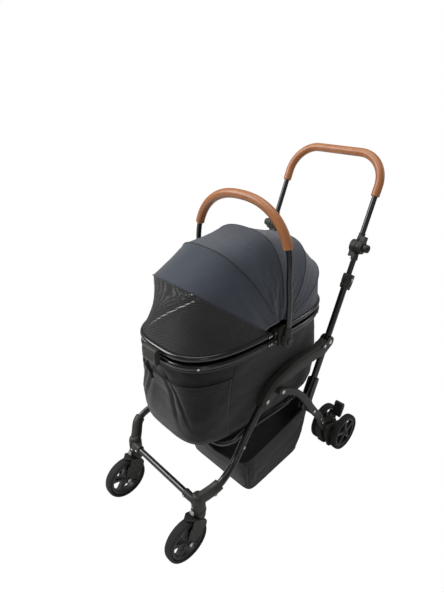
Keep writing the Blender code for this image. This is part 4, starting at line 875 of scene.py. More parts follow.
def weave_group():
    """Plain weave read from the cloth's own UVs in metres. The two sets of yarn
    are sine waves; where one crosses over, the other dips, and the colour is
    painted darker in the dips as painted shade. Slow noise clouds the
    colour and dust settles in it."""
    group, given, out = new_group("plain weave",
                                  [("Colour", "Color", (0.02, 0.02, 0.02, 1)),
                                   ("Fade", "Color", (0.05, 0.05, 0.06, 1)), ("Fade Amount", "Float", 0.4),
                                   ("Pitch", "Float", 0.0009), ("Depth", "Float", 0.4),
                                   ("Cloud", "Float", 9.0)],
                                  [("Colour", "Color"), ("Roughness", "Float"), ("Normal", "Vector")])
    uv = node(group, "UVMap", uv_map="UVMap").outputs["UV"]
    parts = node(group, "SeparateXYZ", [("Vector", uv)])
    rate = node(group, "Math", [(0, math.pi), (1, given.outputs["Pitch"])], operation="DIVIDE")
    waves = []
    for axis in ("X", "Y"):
        phase = node(group, "Math", [(0, parts.outputs[axis]), (1, rate.outputs[0])], operation="MULTIPLY")
        waves.append(node(group, "Math", [(0, phase.outputs[0])], operation="SINE"))
    over = node(group, "Math", [(0, waves[0].outputs[0]), (1, waves[1].outputs[0])], operation="MULTIPLY")
    place = node(group, "TexCoord").outputs["Object"]
    cloud = node(group, "TexNoise",
                 [("Vector", place), ("Scale", given.outputs["Cloud"]), ("Detail", 5.0), ("Roughness", 0.6)])
    fuzz = node(group, "TexNoise", [("Vector", place), ("Scale", 420.0), ("Detail", 2.0)])
    mask = node(group, "MapRange", [("Value", cloud.outputs["Fac"]), ("From Min", 0.36), ("From Max", 0.70)])
    share = node(group, "Math", [(0, mask.outputs[0]), (1, given.outputs["Fade Amount"])],
                 operation="MULTIPLY")
    mix = node(group, "MixRGB",
               [("Fac", share.outputs[0]), ("Color1", given.outputs["Colour"]),
                ("Color2", given.outputs["Fade"])])
    # The colour is scaled by the yarn's height: darker where it dips, lighter where it crosses over. This is
    # painted shade of the weave; the fine fuzz in it is random tone.
    tone = node(group, "Math", [(0, over.outputs[0]), (1, 0.16), (2, 0.92)], operation="MULTIPLY_ADD")
    tone = node(group, "Math", [(0, fuzz.outputs["Fac"]), (1, 0.22), (2, tone.outputs[0])],
                operation="MULTIPLY_ADD")
    final = node(group, "VectorMath", [(0, mix.outputs[0]), ("Scale", tone.outputs[0])], operation="SCALE")
    height = node(group, "Math", [(0, fuzz.outputs["Fac"]), (1, 0.8), (2, over.outputs[0])],
                  operation="MULTIPLY_ADD")
    bump = node(group, "Bump",
                [("Strength", given.outputs["Depth"]), ("Distance", 0.0004), ("Height", height.outputs[0])])
    rough = node(group, "MapRange", [("Value", fuzz.outputs["Fac"]), ("To Min", 0.72), ("To Max", 0.95)])
    return wired(group, out, Colour=final, Roughness=rough, Normal=bump)


WEAVE = weave_group()


def woven(name, colour, fade, share, pitch, depth, cloud, **sockets):
    """Woven cloth: its colour, the faded one and its share, and the yarn's pitch."""
    values = {"Colour": colour, "Fade": fade, "Fade Amount": share, "Pitch": pitch, "Depth": depth,
              "Cloud": cloud}
    return finish(name, WEAVE, values, **sockets)


BLACK_CLOTH = woven("black polyester", (0.00607, 0.00653, 0.00675), (0.0117, 0.0121, 0.0131), 0.8, 0.0008,
                    0.35, 11.0, Sheen_Weight=0.25, Sheen_Roughness=0.5, Specular_IOR_Level=0.25)
HEM = woven("hem tape", (0.008, 0.0085, 0.009), (0.016, 0.0165, 0.0175), 0.7, 0.0014, 0.6, 20.0,
             Sheen_Weight=0.3, Specular_IOR_Level=0.3)


def ripple(u, v, size, seed):
    """Soft folds: a fixed sum of six sine waves in u and v whose directions and
    rates come from a seeded draw, weaker for the faster waves."""
    draw = np.random.default_rng(seed)
    total = np.zeros(np.broadcast(u, v).shape)
    for k in range(6):
        rate = (1 + 0.9 * k) * draw.uniform(0.8, 1.25)
        way = draw.uniform(0, np.pi)
        shift = draw.uniform(0, 2 * np.pi)
        total = total + np.sin(2 * np.pi * rate * (u * np.cos(way) + v * np.sin(way)) + shift) / (1 + 0.8 * k)
    return size * total / 2.2


def oval(a, b, n, y0, angle):
    """x and y of a rounded rectangle: |x / a| ** n + |(y - y0) / b| ** n = 1."""
    c, s = np.cos(angle), np.sin(angle)
    return a * swing(c, 2 / n), y0 + b * swing(s, 2 / n)


def cloth(name, grid, thick, material, body, nodes, wrap=False):
    """A sewn sheet from a grid, thickened inwards."""
    made = build(name, [skin(grid, wrap_cols=wrap)], material, body, nodes, crease=70)
    wall = made.modifiers.new("thickness", "SOLIDIFY")
    wall.thickness, wall.offset = thick, -1
    return made


HALF_X, FRONT_EDGE, BACK_EDGE, FLOOR_Z, SAG_Z, FLARE = 0.150, -0.106, 0.154, 0.030, 0.125, 0.26


def basket_grid():
    """Rings from the middle of the floor out and up the walls. Each ring is a
    rounded rectangle; the floor and the top edge rise towards the back, the top
    edge lifts a little at the front corners, and the walls ripple."""
    angle = np.linspace(0, 2 * np.pi, 240, endpoint=False)
    floor_part, wall_part = np.linspace(0.02, 1, 14), np.linspace(0, 1, 40)
    yc, yb = (FRONT_EDGE + BACK_EDGE) / 2, (BACK_EDGE - FRONT_EDGE) / 2
    rows = []
    for share in floor_part[:-1]:
        x, y = oval((HALF_X - 0.005) * share, (yb - 0.001) * share, 2 + 10 * share, yc, angle)
        rows.append(np.column_stack([x, y,
                                     FLOOR_Z + 0.030 * (y
                                                        - FRONT_EDGE) / (2 * yb) - 0.003 * (1 - share ** 4)]))
    for v in wall_part:
        swell = 0.003 * np.sin(np.pi * v)
        x, y = oval(HALF_X - 0.001 - 0.004 * (1 - v) + swell, (yb - 0.001) * (1 + FLARE * v) + swell, 12,
                    yc + 0.012 * v, angle)
        low = FLOOR_Z + 0.030 * np.clip((y - FRONT_EDGE) / (2 * yb), 0, 1)
        back = np.clip((y + 0.125) / 0.325, 0, 1)
        top = SAG_Z + 0.115 * back + 0.045 * (1 - back) * np.abs(x / HALF_X) ** 2
        loose = np.sin(np.pi * min(1.0, v * 1.15)) ** 0.7
        fold = ripple(angle / (2 * np.pi) * 5, v * 0.7 + 0 * angle, 0.0030, 5) * loose
        nx, ny = np.cos(angle), np.sin(angle)
        rows.append(np.column_stack([x + fold * nx, y + fold * ny, low * (1 - v) + top * v]))
    return np.array(rows)


tub = basket_grid()
hem_line = tub[-1] + (0, 0, 0.0004)
corners = [tube(tub[14:, k] * (1.003, 1.003, 1), 0.0012, (0, 1, 0), 8) for k in (30, 90, 150, 210)]
basket_hem = build("basket_hem",
                   [*corners, tube(hem_line, 0.0026, (0, 0, 1), 12, closed=True),
                    tube(tub[13] + (0, 0, 0.0010), 0.0014, (0, 0, 1), 10, closed=True)],
                   HEM, "frame", crease=80)
basket = cloth("basket_tub", tub, 0.0012, BLACK_CLOTH, "frame", ["storage_basket"],
               wrap=True)

# ---------------------------------------------------------------------------
# Carrier bag: a soft black tub that hangs from the lower rim and narrows to a
# stiff base. A big pocket is sewn over its front, with a folded upper edge and
# a seam down each side, and the cloth creases under the latch.
RIM_A, RIM_B, RIM_N, RIM_Y, RIM_Z, RIM_R = 0.163, 0.295, 3.1, -0.031, 0.5975, 0.009
UPPER_Z = RIM_Z + 0.0265
BAG_TOP, BAG_LOW = RIM_Z - RIM_R - 0.0005, RIM_Z - RIM_R - 0.2655


def bag_wall(rows, angle, grow=0.0):
    """The tub's wall: rounded rectangles whose half sizes and centre are smooth
    functions of height, read between the sewn levels."""
    v = np.asarray(rows, float)[:, None]
    height = BAG_TOP + (BAG_LOW - BAG_TOP) * v
    stops = np.array([0, 0.226, 0.60, 0.887, 0.94, 0.975, 1.0])
    a = np.interp(v, stops, [0.1588, 0.1542, 0.1542, 0.1510, 0.1485, 0.1455, 0.1410]) + grow
    b = np.interp(v, stops, [0.2905, 0.2935, 0.2925, 0.2845, 0.2800, 0.2735, 0.2640]) + grow
    x, y = oval(a, b, np.interp(v, stops, [RIM_N, 3.6, 4.2, 4.2, 4.1, 4.0, 3.8]), RIM_Y - 0.003, angle[None])
    return np.stack([x, y, height + 0 * x], -1)


def bag_folds(v, angle):
    """How far the cloth stands in or out: broad ripples, a fan of creases that
    spreads downwards from the latch, and a slack bulge low on the front."""
    front = np.exp(-((angle - 1.5 * np.pi) / 0.75) ** 2)
    wave = ripple(angle / (2 * np.pi) * 4, v * 1.1, 0.0022, 11)
    wave = wave + ripple(angle / (2 * np.pi) * 10, v * 2.0, 0.0009, 3)
    fan = np.zeros_like(wave)
    for lean_to, strength, start in ((-0.30, 0.0026, 0.05), (-0.62, 0.0022, 0.10), (0.22, 0.0022, 0.08),
                                     (0.50, 0.0016, 0.16), (-0.05, 0.0014, 0.10)):
        middle = 1.5 * np.pi + lean_to * (v - 0.02) / 0.75
        across = (angle - middle) / (0.026 + 0.045 * v)
        fade = np.clip((v - start) / 0.08, 0, 1) * np.clip((0.80 - v) / 0.3, 0, 1)
        fan -= 2.3 * strength * (0.35 + across) * np.exp(-across ** 2) * fade
    bulge = 0.0030 * np.exp(-((v - 0.72) / 0.17) ** 2)
    hollow = 0.0022 * np.exp(-((v - 0.36) / 0.10) ** 2)
    slack = front * (bulge - hollow)
    side_in = -0.0010 * np.exp(-(np.cos(angle) ** 2 - 1) ** 2 / 0.02) * np.sin(np.pi * v)
    pin = np.clip(v / 0.05, 0, 1) * np.clip((1 - v) / 0.05, 0, 1)
    return (wave * 0.8 + fan + slack + side_in) * pin


angle = np.linspace(0, 2 * np.pi, 420, endpoint=False)
levels = np.linspace(0, 1, 90)
wall = bag_wall(levels, angle)
out_x, out_y = np.cos(angle)[None], np.sin(angle)[None]
fold = bag_folds(levels[:, None], angle[None])
sign_room = np.where(np.abs(wall[..., 0]) > 0.147, np.minimum(fold, 0.0004), fold)
wall = wall + np.stack([sign_room * out_x, sign_room * out_y, 0 * sign_room], -1)
base = np.array([np.column_stack([*oval(0.1400 * s, 0.2620 * s, 2 + 1.8 * s, RIM_Y - 0.003, angle),
                                  np.full(len(angle), BAG_LOW + 0.0006)])
                 for s in (0.985, 0.8, 0.5, 0.2, 0.01)])
bag_parts = []
for row, size in ((2, 0.0011), (86, 0.0016)):
    bag_parts.append(tube(wall[row] + np.stack([out_x[0], out_y[0], 0 * out_x[0]], -1) * 0.0006, size,
                          (0, 0, 1), 8, closed=True))
for at in (math.radians(199), math.radians(341)):
    k = int(round(at / (2 * np.pi) * len(angle)))
    seam = wall[4:86, k] + np.array([math.cos(at), math.sin(at), 0]) * 0.0004
    bag_parts.append(tube(seam, 0.0011, (math.sin(at), -math.cos(at), 0), 8))
bag_seams = build("bag_seams", bag_parts, HEM, "carrier", crease=80)
cloth("bag_tub", np.concatenate([wall, base]), 0.0014, BLACK_CLOTH, "carrier", ["carrier_bag"],
      wrap=True)

# Front pocket: a second layer over the bag's front, between the two seams, its
# top edge folded over and standing slightly proud.
lo_k, hi_k = int(199 / 360 * len(angle)), int(341 / 360 * len(angle))
patch_rows = np.linspace(0.20, 0.955, 60)
patch_angle = angle[lo_k:hi_k + 1]
patch = bag_wall(patch_rows, patch_angle, 0.0018)
u = np.linspace(0, 1, len(patch_angle))[None]
down = patch_rows[:, None]
lifted = 0.0022 * np.sin(np.pi * u) ** 0.5 * np.exp(-((down - 0.20) / 0.10) ** 2)
proud = bag_folds(down, patch_angle[None]) + lifted
proud = proud * np.clip(np.minimum(u, 1 - u) / 0.03, 0, 1)
patch = patch + np.stack([proud * np.cos(patch_angle), proud * np.sin(patch_angle), 0 * proud], -1)
patch_hem = build("pocket_hem",
                  [tube(patch[0], 0.0020, (0, 0, 1), 10),
                   tube(patch[7] + (0, -0.0003, 0), 0.0006, (0, 0, 1), 6)],
                  HEM, "carrier", crease=80)
cloth("bag_pocket", patch, 0.0010, BLACK_CLOTH, "carrier", ())

# Pad: a quilted foam mat on the bag's floor, thicker between its stitched
# channels than along them.
PAD_CLOTH = woven("grey pad cover", (0.036, 0.0384, 0.042), (0.054, 0.057, 0.06), 0.6, 0.0010, 0.5, 12.0,
                  Sheen_Weight=0.3)
pad_low, pad_high = (v[2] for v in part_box("carrier_pad"))
angle_pad = np.linspace(0, 2 * np.pi, 160, endpoint=False)
share = np.concatenate([np.linspace(0.01, 0.93, 30), 0.93 + 0.07 * np.sin(np.linspace(0.2, np.pi / 2, 7))])
rings = []
for s in share:
    x, y = oval(0.1355 * s, 0.2395 * s, 2 + 1.1 * s, RIM_Y - 0.012, angle_pad)
    channel = 0.0035 * (np.exp(-((np.mod(x + 0.022, 0.045) - 0.0225) / 0.004) ** 2)
                        + np.exp(-((np.mod(y + 0.03, 0.06) - 0.03) / 0.004) ** 2))
    crown = (pad_high - pad_low) * (1 - 0.55 * np.clip((s - 0.8) / 0.2, 0, 1) ** 2)
    rings.append(np.column_stack([x, y, pad_low + crown - channel * (s < 0.95) - 0.0006]))
under = [np.column_stack([*oval(0.1355 * s, 0.2395 * s, 2 + 1.1 * s, RIM_Y - 0.012, angle_pad),
                          np.full(160, pad_low + d)]) for s,
         d in ((1.0, 0.006), (0.975, 0.0015), (0.9, 0.0003), (0.01, 0.0003))]
pad = build("floor_pad", [skin(np.array(rings + under), wrap_cols=True, caps=True)], PAD_CLOTH, "carrier",
            ["carrier_pad"], crease=80)

# ---------------------------------------------------------------------------
# Rims: two black tubes, one over the other. The lower one holds the bag. The
# upper one is split beside the handle, and its front half lifts as the lid.
# Riveted plates join the two at the sides, and a hem of tape wraps the lower.


def rim_line(z, a0, a1, count, grow=0.0):
    """The rim's centre line between two angles at height z."""
    x, y = oval(RIM_A + grow, RIM_B + grow, RIM_N, RIM_Y, np.linspace(a0, a1, count))
    return np.column_stack([x, y, np.full(count, z)])


def rim_angle(y):
    """The angle at which the rim passes a given y on the right-hand side."""
    return math.copysign(math.asin(min(abs(y - RIM_Y) / RIM_B, 1) ** (RIM_N / 2)), y - RIM_Y)


MOUNT_Y, MOUNT_Z, RIM_OUT = -0.016, 0.600, 0.172
full = rim_line(RIM_Z, 0, 2 * np.pi, 241)[:-1]
rear_from = rim_angle(MOUNT_Y - 0.022)
rear_half = rim_line(UPPER_Z, rear_from, math.pi - rear_from, 160)
build("lower_rim", [tube(full, 0.0088, (0, 0, 1), 24, closed=True), tube(rear_half, 0.0084, (0, 0, 1), 24)],
      BLACK_PAINT, "carrier", ["carrier_rim"])
front_to = rim_angle(-0.058)
front_half = rim_line(UPPER_Z, front_to, -math.pi - front_to, 160)
build("lid_frame", [tube(front_half, 0.0088, (0, 0, 1), 24)], BLACK_PAINT, "lid", ["lid_rim"])
tape_low = rim_line(RIM_Z - 0.0095, 0, 2 * np.pi, 241, 0.0012)[:-1]
build("bag_hem", [tube(tape_low, 0.0034, (0, 0, 1), 12, closed=True, flat=1.8)], HEM, "carrier",
      crease=80)

plates, rivets, low_rivets = [], [], []
for tag, side in SIDES:
    face = side * (RIM_OUT + 0.0002)
    outline = [(MOUNT_Y - 0.029, RIM_Z - 0.0085), (MOUNT_Y + 0.012, RIM_Z - 0.0085),
               (MOUNT_Y + 0.012, UPPER_Z + 0.0085), (MOUNT_Y - 0.029, UPPER_Z + 0.0085)]
    plates.append(plate(outline, side * 0.1545, face - side * 0.0004))
    for z in (RIM_Z, UPPER_Z):
        low_rivets.append(screw((face - side * 0.0002, MOUNT_Y - 0.0262, z), (side, 0, 0), 0.0021, 0.0011))
build("rim_plates", plates, PLASTIC, "carrier", bevel=0.0016)
strap_parts, lid_strap_parts = [], []
for tag, side in SIDES:
    for z, span in ((UPPER_Z, (-0.0745, -0.0590)), (RIM_Z, (-0.0745, -0.0480))):
        a = np.linspace(-1.15, 1.15, 14)
        ring = np.concatenate([np.column_stack([np.cos(a) * 0.0103, np.sin(a) * 0.0103]),
                               np.column_stack([np.cos(a[::-1]) * 0.0088, np.sin(a[::-1]) * 0.0088])])
        ys = np.linspace(*span, 5)
        near_rim = rim_line(0, rim_angle(-0.12), rim_angle(-0.02), 60)
        curve = np.interp(ys, near_rim[:, 1], near_rim[:, 0])
        grid = np.stack([side * (curve[:, None] + ring[:, 0]), ys[:, None] + 0 * ring[:, 0],
                         z + ring[:, 1] + 0 * ys[:, None]],
                        -1)
        (strap_parts if z == RIM_Z else lid_strap_parts).append(skin(grid, wrap_cols=True, caps=True))
build("rim_straps", strap_parts, PLASTIC, "carrier", crease=40)
build("lid_straps", lid_strap_parts, PLASTIC, "lid", crease=40)
upper_pins = [screw((side * 0.1735, y, UPPER_Z), (side, 0, 0), 0.0024, 0.0014) for _,
              side in SIDES for y in (-0.0710, -0.0625)]
lower_pins = [screw((side * 0.1735, y, RIM_Z), (side, 0, 0), 0.0024, 0.0014) for _,
              side in SIDES for y in (-0.0710, -0.0610)]
along = rim_line(RIM_Z, 0, 2 * np.pi, 721)
for deg in (-52, -128, 38, 142, 66, 114):
    a = math.radians(deg)
    x, y = oval(RIM_A + 0.0087, RIM_B + 0.0087, RIM_N, RIM_Y, np.array([a, a + 0.01]))
    way = np.array([y[1] - y[0], x[0] - x[1], 0])
    way *= math.copysign(1, way[0] * x[0] + way[1] * (y[0] - RIM_Y)) / np.linalg.norm(way)
    lower_pins.append(screw((x[0], y[0], RIM_Z), way, 0.0027, 0.0016))
build("rim_rivets", lower_pins + low_rivets, BRIGHT, "carrier")
build("lid_rivets", upper_pins, BRIGHT, "lid")

# Handle mounts and carry handle: a moulded block bolted beside the rims on each
# side, a hub that turns on it and locks with a round button, black posts, and a
# leatherette grip over the arched top.
CARRY_R, SPRING_Z, CARRY_TOP = 0.008, 0.797, 0.983
HUB_X0 = RIM_OUT + 0.0010 + 0.011
HUB_T = 0.0165
for tag, side in SIDES:
    x0 = RIM_OUT + 0.0005
    block = [(MOUNT_Y - 0.024, RIM_Z - 0.010), (MOUNT_Y - 0.020, RIM_Z - 0.014),
             (MOUNT_Y + 0.020, RIM_Z - 0.014), (MOUNT_Y + 0.024, RIM_Z - 0.010),
             (MOUNT_Y + 0.024, UPPER_Z + 0.008), (MOUNT_Y + 0.013, UPPER_Z + 0.0175),
             (MOUNT_Y - 0.013, UPPER_Z + 0.0175), (MOUNT_Y - 0.024, UPPER_Z + 0.008)]
    build(f"mount_block_{tag}", [plate(block, side * x0, side * (x0 + 0.011))], PLASTIC, "carrier",
          [f"handle_mount_{tag}"], bevel=0.0018)
    build(f"mount_screws_{tag}",
          [screw((side * (x0 + 0.0108), MOUNT_Y + 0.0205, UPPER_Z + 0.001), (side, 0, 0), 0.0026, 0.0016)],
          BRIGHT, "carrier")
    button = [(0, 0.004), (0, 0.0104), (0.0050, 0.0104), (0.0064, 0.0098), (0.0070, 0.0086), (0.0069, 0.0078),
              (0.0062, 0.0070), (0.0062, 0.001)]
    build(f"handle_button_{tag}",
          [turned(button, (side * (HUB_X0 + HUB_T - 0.0018), MOUNT_Y, MOUNT_Z), (side, 0, 0))], WHEEL_GREY,
          f"release_button_{tag}", [f"release_button_{tag}"])

post = HUB_X0 + HUB_T / 2
top_a = SIDE_X + 0.0102
a = np.linspace(0.02, np.pi / 2, 60)
right_x = np.concatenate([[post, post, post - 0.0005, post - 0.002, top_a + 0.0006],
                          top_a * np.cos(a) ** (2 / 2.3)])
right_z = np.concatenate([[MOUNT_Z + 0.004, MOUNT_Z + 0.045, MOUNT_Z + 0.080, MOUNT_Z + 0.130,
                           SPRING_Z - 0.020],
                          SPRING_Z + (CARRY_TOP - SPRING_Z) * np.sin(a) ** (2 / 2.3)])
arch_line = np.column_stack([np.concatenate([right_x, -right_x[-2::-1]]),
                             np.full(2 * len(right_x) - 1, MOUNT_Y),
                             np.concatenate([right_z, right_z[-2::-1]])])
hub_parts = []
for tag, side in SIDES:
    rim_of_hub = [(0, 0.010), (0, 0.0192), (0.0010, 0.0200), (0.0145, 0.0200), (0.0160, 0.0190),
                  (0.0165, 0.0174), (0.0165, 0.0122), (0.0158, 0.0115), (0.0110, 0.0115), (0.0110, 0.001)]
    hub_parts.append(turned(rim_of_hub, (side * HUB_X0, MOUNT_Y, MOUNT_Z), (side, 0, 0), 56))
    stem = np.array([(side * post, MOUNT_Y, z)
                     for z in (MOUNT_Z + 0.012, MOUNT_Z + 0.030, MOUNT_Z + 0.041, MOUNT_Z + 0.043)])
    hub_parts.append(tube(stem, np.array([0.0120, 0.0104, 0.0100, 0.0090]), (0, 1, 0), 32))
build("carry_bar", [tube(arch_line, CARRY_R, (0, 1, 0), 28)], BLACK_PAINT, "carry_handle",
      ["carry_handle"])
build("carry_hubs", hub_parts, PLASTIC, "carry_handle")
covered = arch_line[:, 2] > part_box("carry_grip")[0][2] + 0.003
grip("carry_sleeve", arch_line[covered], 0.0135, (0, 1, 0), "carry_handle", "carry_grip", math.radians(180))

# Lid latch: a black moulded block at the front that clips the two rims together,
# with a ribbed thumb pad and a short webbing pull below it.
latch_y = RIM_Y - RIM_B - RIM_R - 0.0052
profile = [(latch_y, RIM_Z - 0.0065), (latch_y, UPPER_Z + 0.0095), (latch_y - 0.0035, UPPER_Z + 0.0125),
           (latch_y - 0.010, UPPER_Z + 0.0118), (latch_y - 0.0155, UPPER_Z + 0.0085),
           (latch_y - 0.0176, UPPER_Z), (latch_y - 0.0176, RIM_Z + 0.001), (latch_y - 0.0145, RIM_Z - 0.0065),
           (latch_y - 0.006, RIM_Z - 0.0085)]
latch_parts = [plate(profile, -0.0288, 0.0288),
               plate([(latch_y - 0.001, RIM_Z + 0.002), (latch_y - 0.001, UPPER_Z + 0.002),
                      (latch_y + 0.004, UPPER_Z), (latch_y + 0.004, RIM_Z + 0.004)],
                     -0.019, 0.019)]
latch_parts += [plate([(latch_y - 0.0176, z), (latch_y - 0.0190, z + 0.0006), (latch_y - 0.0190, z + 0.0020),
                       (latch_y - 0.0176, z + 0.0026)],
                      -0.019, 0.019)
                for z in np.linspace(RIM_Z + 0.004, UPPER_Z - 0.006, 4)]
strap = spline([(-0.016, latch_y - 0.004, RIM_Z - 0.006), (-0.018, latch_y - 0.010, RIM_Z - 0.020),
                (-0.014, latch_y - 0.009, RIM_Z - 0.036), (-0.004, latch_y - 0.007, RIM_Z - 0.048)],
               24)
build("bag_pull",
      [tube(strap, 0.0050, (1, 0, 0.3), 12, flat=0.28),
       tube(strap[-2:] + np.array([(0, -0.001, 0), (0.004, -0.002, -0.014)]), 0.0042, (1, 0, 0.3), 12,
            flat=0.4)],
      HEM, "carrier", crease=60)
build("latch_block", latch_parts, PLASTIC, "lid_latch", ["lid_latch"], bevel=0.0014)

# ---------------------------------------------------------------------------
# Mesh dome: a dark open net stretched from the lid's rim up to the first canopy
# hoop. It draws in between the two, and a stitched dart crosses its left side.
CLOTH_Z = UPPER_Z + RIM_R + 0.0012
HALF_HOOP = 0.168
HOOP_A, HOOP_B, HOOP_C = (38.0, 0.268, 2.70,
                          -0.0655), (59.0, 0.273, 2.67, -0.0180), (95.0, 0.253, 2.80, -0.0180)
HOOP_D, HOOP_E = (132.0, 0.266, 2.70, -0.0100), (160.0, 0.300, 2.66, -0.0160)
ts = np.concatenate([[0.035, 0.06, 0.09, 0.13], np.linspace(0.18, math.pi - 0.18, 180),
                     math.pi - np.array([0.13, 0.09, 0.06, 0.035])])


def hoop(spec, t):
    """A rounded arch in a plane tipped back by an angle from the front: x follows
    a power of the cosine of t and the reach a power of its sine."""
    tip_deg, reach, n, y0 = spec
    a = math.radians(tip_deg)
    x = HALF_HOOP * swing(np.cos(t), 2 / n)
    q = reach * np.abs(np.sin(t)) ** (2 / n)
    return np.stack([x, y0 - q * math.cos(a), CLOTH_Z + q * math.sin(a)], -1)


def rim_edge(t, side):
    """The canopy's lower edge over the rim: side is +1 for the rear, -1 the front."""
    x = (HALF_HOOP - 0.002) * swing(np.cos(t), 2 / RIM_N)
    return np.stack([x, RIM_Y + side * RIM_B * np.abs(np.sin(t)) ** (2 / RIM_N),
                     np.full(len(t), CLOTH_Z - 0.001)],
                    -1)


def between(low, high, count, sag, wrinkle, seed, ends=0.0):
    """Cloth from one curve to the next: a straight blend, drawn inwards in the
    middle by a sine of its width, with soft wrinkles that grow near the ends."""
    v = np.linspace(0, 1, count)[:, None, None]
    flat = low[None] * (1 - v) + high[None] * v
    normal = np.cross(np.gradient(flat, axis=0), np.gradient(flat, axis=1))
    normal /= np.linalg.norm(normal, axis=2)[..., None] + 1e-12
    centre = np.array([0, RIM_Y, CLOTH_Z - 0.1])
    normal *= np.sign(((flat - centre) * normal).sum(-1))[..., None]
    width = np.linalg.norm(high - low, axis=1)[None]
    u = np.linspace(0, 1, low.shape[0])[None]
    near_end = np.clip(1 - np.minimum(u, 1 - u) / 0.22, 0, 1)
    fold = ripple(u * 5, v[..., 0] * 1.3, wrinkle,
                  seed) * (0.5 + near_end * (1 + ends)) * np.sin(np.pi * v[..., 0])
    pull = -sag * np.sin(np.pi * v[..., 0]) ** 0.9 * np.clip(width / width.max(), 0.05, 1)
    return flat + normal * (pull + fold)[..., None]


def net_group():
    """Open net read from UVs in metres: round holes in offset rows. The holes are
    painted a dark shade for the cloth behind them, which shows where alpha leaves
    them partly shut; threads between them catch a little light. Alpha opens
    the holes by the given share."""
    group, given, out = new_group("open net",
                                  [("Thread", "Color", (0.05, 0.05, 0.05, 1)),
                                   ("Hole", "Color", (0.01, 0.01, 0.01, 1)), ("Pitch", "Float", 0.0026),
                                   ("Open", "Float", 0.45), ("Depth", "Float", 0.6)],
                                  [("Colour", "Color"), ("Roughness", "Float"), ("Normal", "Vector"),
                                   ("Alpha", "Float")])
    uv = node(group, "UVMap", uv_map="UVMap").outputs["UV"]
    parts = node(group, "SeparateXYZ", [("Vector", uv)])
    rate = node(group, "Math", [(0, 2 * math.pi), (1, given.outputs["Pitch"])], operation="DIVIDE")
    total = None
    for weights in ((1.0, 0.0), (0.5, 0.866), (0.5, -0.866)):
        u_part = node(group, "Math", [(0, parts.outputs["X"]), (1, weights[0])], operation="MULTIPLY")
        both = node(group, "Math", [(0, parts.outputs["Y"]), (1, weights[1]), (2, u_part.outputs[0])],
                    operation="MULTIPLY_ADD")
        phase = node(group, "Math", [(0, both.outputs[0]), (1, rate.outputs[0])], operation="MULTIPLY")
        wave = node(group, "Math", [(0, phase.outputs[0])], operation="COSINE")
        total = wave if total is None else node(group, "Math", [(0, total.outputs[0]), (1, wave.outputs[0])],
                                                operation="ADD")
    hole = node(group, "MapRange", [("Value", total.outputs[0]), ("From Min", 0.1), ("From Max", 1.1)])
    place = node(group, "TexCoord").outputs["Object"]
    cloud = node(group, "TexNoise", [("Vector", place), ("Scale", 16.0), ("Detail", 4.0)])
    tone = node(group, "MapRange", [("Value", cloud.outputs["Fac"]), ("To Min", 0.7), ("To Max", 1.35)])
    # The hole colour is painted shade: the dark inside seen through each hole, showing at the hole edges
    # where alpha is partial.
    mix = node(group, "MixRGB",
               [("Fac", hole.outputs[0]), ("Color1", given.outputs["Thread"]),
                ("Color2", given.outputs["Hole"])])
    final = node(group, "VectorMath", [(0, mix.outputs[0]), ("Scale", tone.outputs[0])], operation="SCALE")
    rough = node(group, "MapRange", [("Value", hole.outputs[0]), ("To Min", 0.55), ("To Max", 0.9)])
    solid = node(group, "Math", [(0, 1.0), (1, hole.outputs[0])], operation="SUBTRACT")
    bump = node(group, "Bump",
                [("Strength", given.outputs["Depth"]), ("Distance", 0.0006), ("Height", solid.outputs[0])])
    gap = node(group, "Math", [(0, hole.outputs[0]), (1, given.outputs["Open"])], operation="MULTIPLY")
    alpha = node(group, "Math", [(0, 1.0), (1, gap.outputs[0])], operation="SUBTRACT")
    return wired(group, out, Colour=final, Roughness=rough, Normal=bump, Alpha=alpha)


# The hole colour here is the painted shade inside the net's holes.
NET = finish("dark net", net_group(),
             {"Thread": (0.042, 0.041, 0.042), "Hole": (0.004, 0.004, 0.004), "Pitch": 0.0046, "Open": 1.0,
              "Depth": 0.6},
             Specular_IOR_Level=0.35)
PALE_THREAD = coat("pale thread", (0.30, 0.30, 0.29), (0.12, 0.12, 0.12), 0.5, 0.7, 3000.0, 0.4)
edge_a, edge_b, edge_c, edge_d, edge_e = (hoop(h, ts) for h in (HOOP_A, HOOP_B, HOOP_C, HOOP_D, HOOP_E))
net_grid = between(rim_edge(ts, -1), edge_a, 60, 0.016, 0.0012, 21)
net = cloth("net_dome", net_grid, 0.0007, NET, "lid", ["mesh_dome"])
dart_v, dart_u = np.linspace(0.40, 0.985, 40), np.linspace(0.905, 0.66, 40)
rows_i, cols_j = dart_v * 59, dart_u * (len(ts) - 1)
dart = net_grid[rows_i.astype(int), cols_j.astype(int)]
dart = spline(dart[::6], 60) + np.array([-0.0004, -0.0008, 0.0008])
dart_thread = build("dart_stitches", stitches(dart, math.radians(90), (0, 0, 1), 0.0, 0.0062, 0.3),
                    PALE_THREAD, "lid")

# ---------------------------------------------------------------------------
# Canopy: slate blue-grey cloth in panels sewn over flat steel hoops. Each seam
# is a narrow welt, and the first hoop's edge has a turned hem.


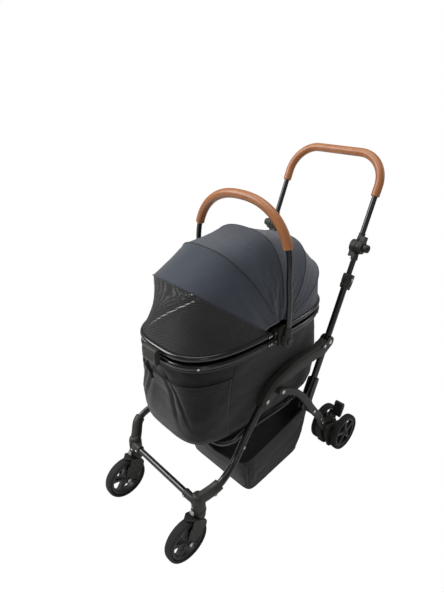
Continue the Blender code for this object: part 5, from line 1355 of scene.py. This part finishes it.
def canopy_cloth(name, colour, fade):
    """Canopy cloth in one tint; the weave is fine and the sheen low."""
    return woven(name, colour, fade, 0.75, 0.0007, 0.30, 5.0,
                  Sheen_Weight=0.35, Sheen_Roughness=0.45, Specular_IOR_Level=0.25)


CANOPY = canopy_cloth("slate canopy cloth", (0.040, 0.048, 0.064), (0.056, 0.064, 0.082))
WELT = canopy_cloth("canopy welt", (0.022, 0.026, 0.030), (0.030, 0.034, 0.040))


def seam(curve, radius, keep=slice(3, -3)):
    """A welt that follows a hoop."""
    return tube(curve[keep], radius, (0, 0.3, 1), 10)


front_grid = between(edge_a, edge_b, 30, 0.0015, 0.0012, 31, 1.0)
mid_grid = between(edge_b, edge_c, 44, 0.0030, 0.0016, 41, 1.0)
rear_grid = np.concatenate([between(edge_c, edge_d, 40, 0.0030, 0.0012, 51, 0.3)[:-1],
                            between(edge_d, edge_e, 32, 0.0026, 0.0010, 61, 0.3)[:-1],
                            between(edge_e, rim_edge(ts, 1), 24, 0.0020, 0.0008, 71)])
front_hem = build("front_hem", [seam(edge_a, 0.0021)], WELT, "canopy_front", crease=80)
build("hoop_welt", [seam(edge_b + (0, -0.0004, 0.0006), 0.0015)], WELT, "canopy_front",
      crease=80)
front_panel = cloth("canopy_front_panel", front_grid, 0.0012, CANOPY, "canopy_front",
                    ["canopy_front"])
mid_panel = cloth("canopy_middle_panel", mid_grid, 0.0012, CANOPY, "carrier", ["canopy_mid"])
rear_welts = build("rear_welts", [seam(edge_c, 0.0014), seam(edge_d, 0.0013), seam(edge_e, 0.0013)], WELT,
                   "carrier", crease=80)
rear_panel = cloth("canopy_rear_panel", rear_grid, 0.0012, CANOPY, "carrier",
                   ["canopy_rear"])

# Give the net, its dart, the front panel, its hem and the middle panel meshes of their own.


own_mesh(net)
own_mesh(dart_thread)
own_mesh(front_panel)
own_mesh(front_hem)
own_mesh(mid_panel)

low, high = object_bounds()
({"cad": [list(map(float, corner)) for corner in solid_box],
           "visual": [list(map(float, low)), list(map(float, high))]})
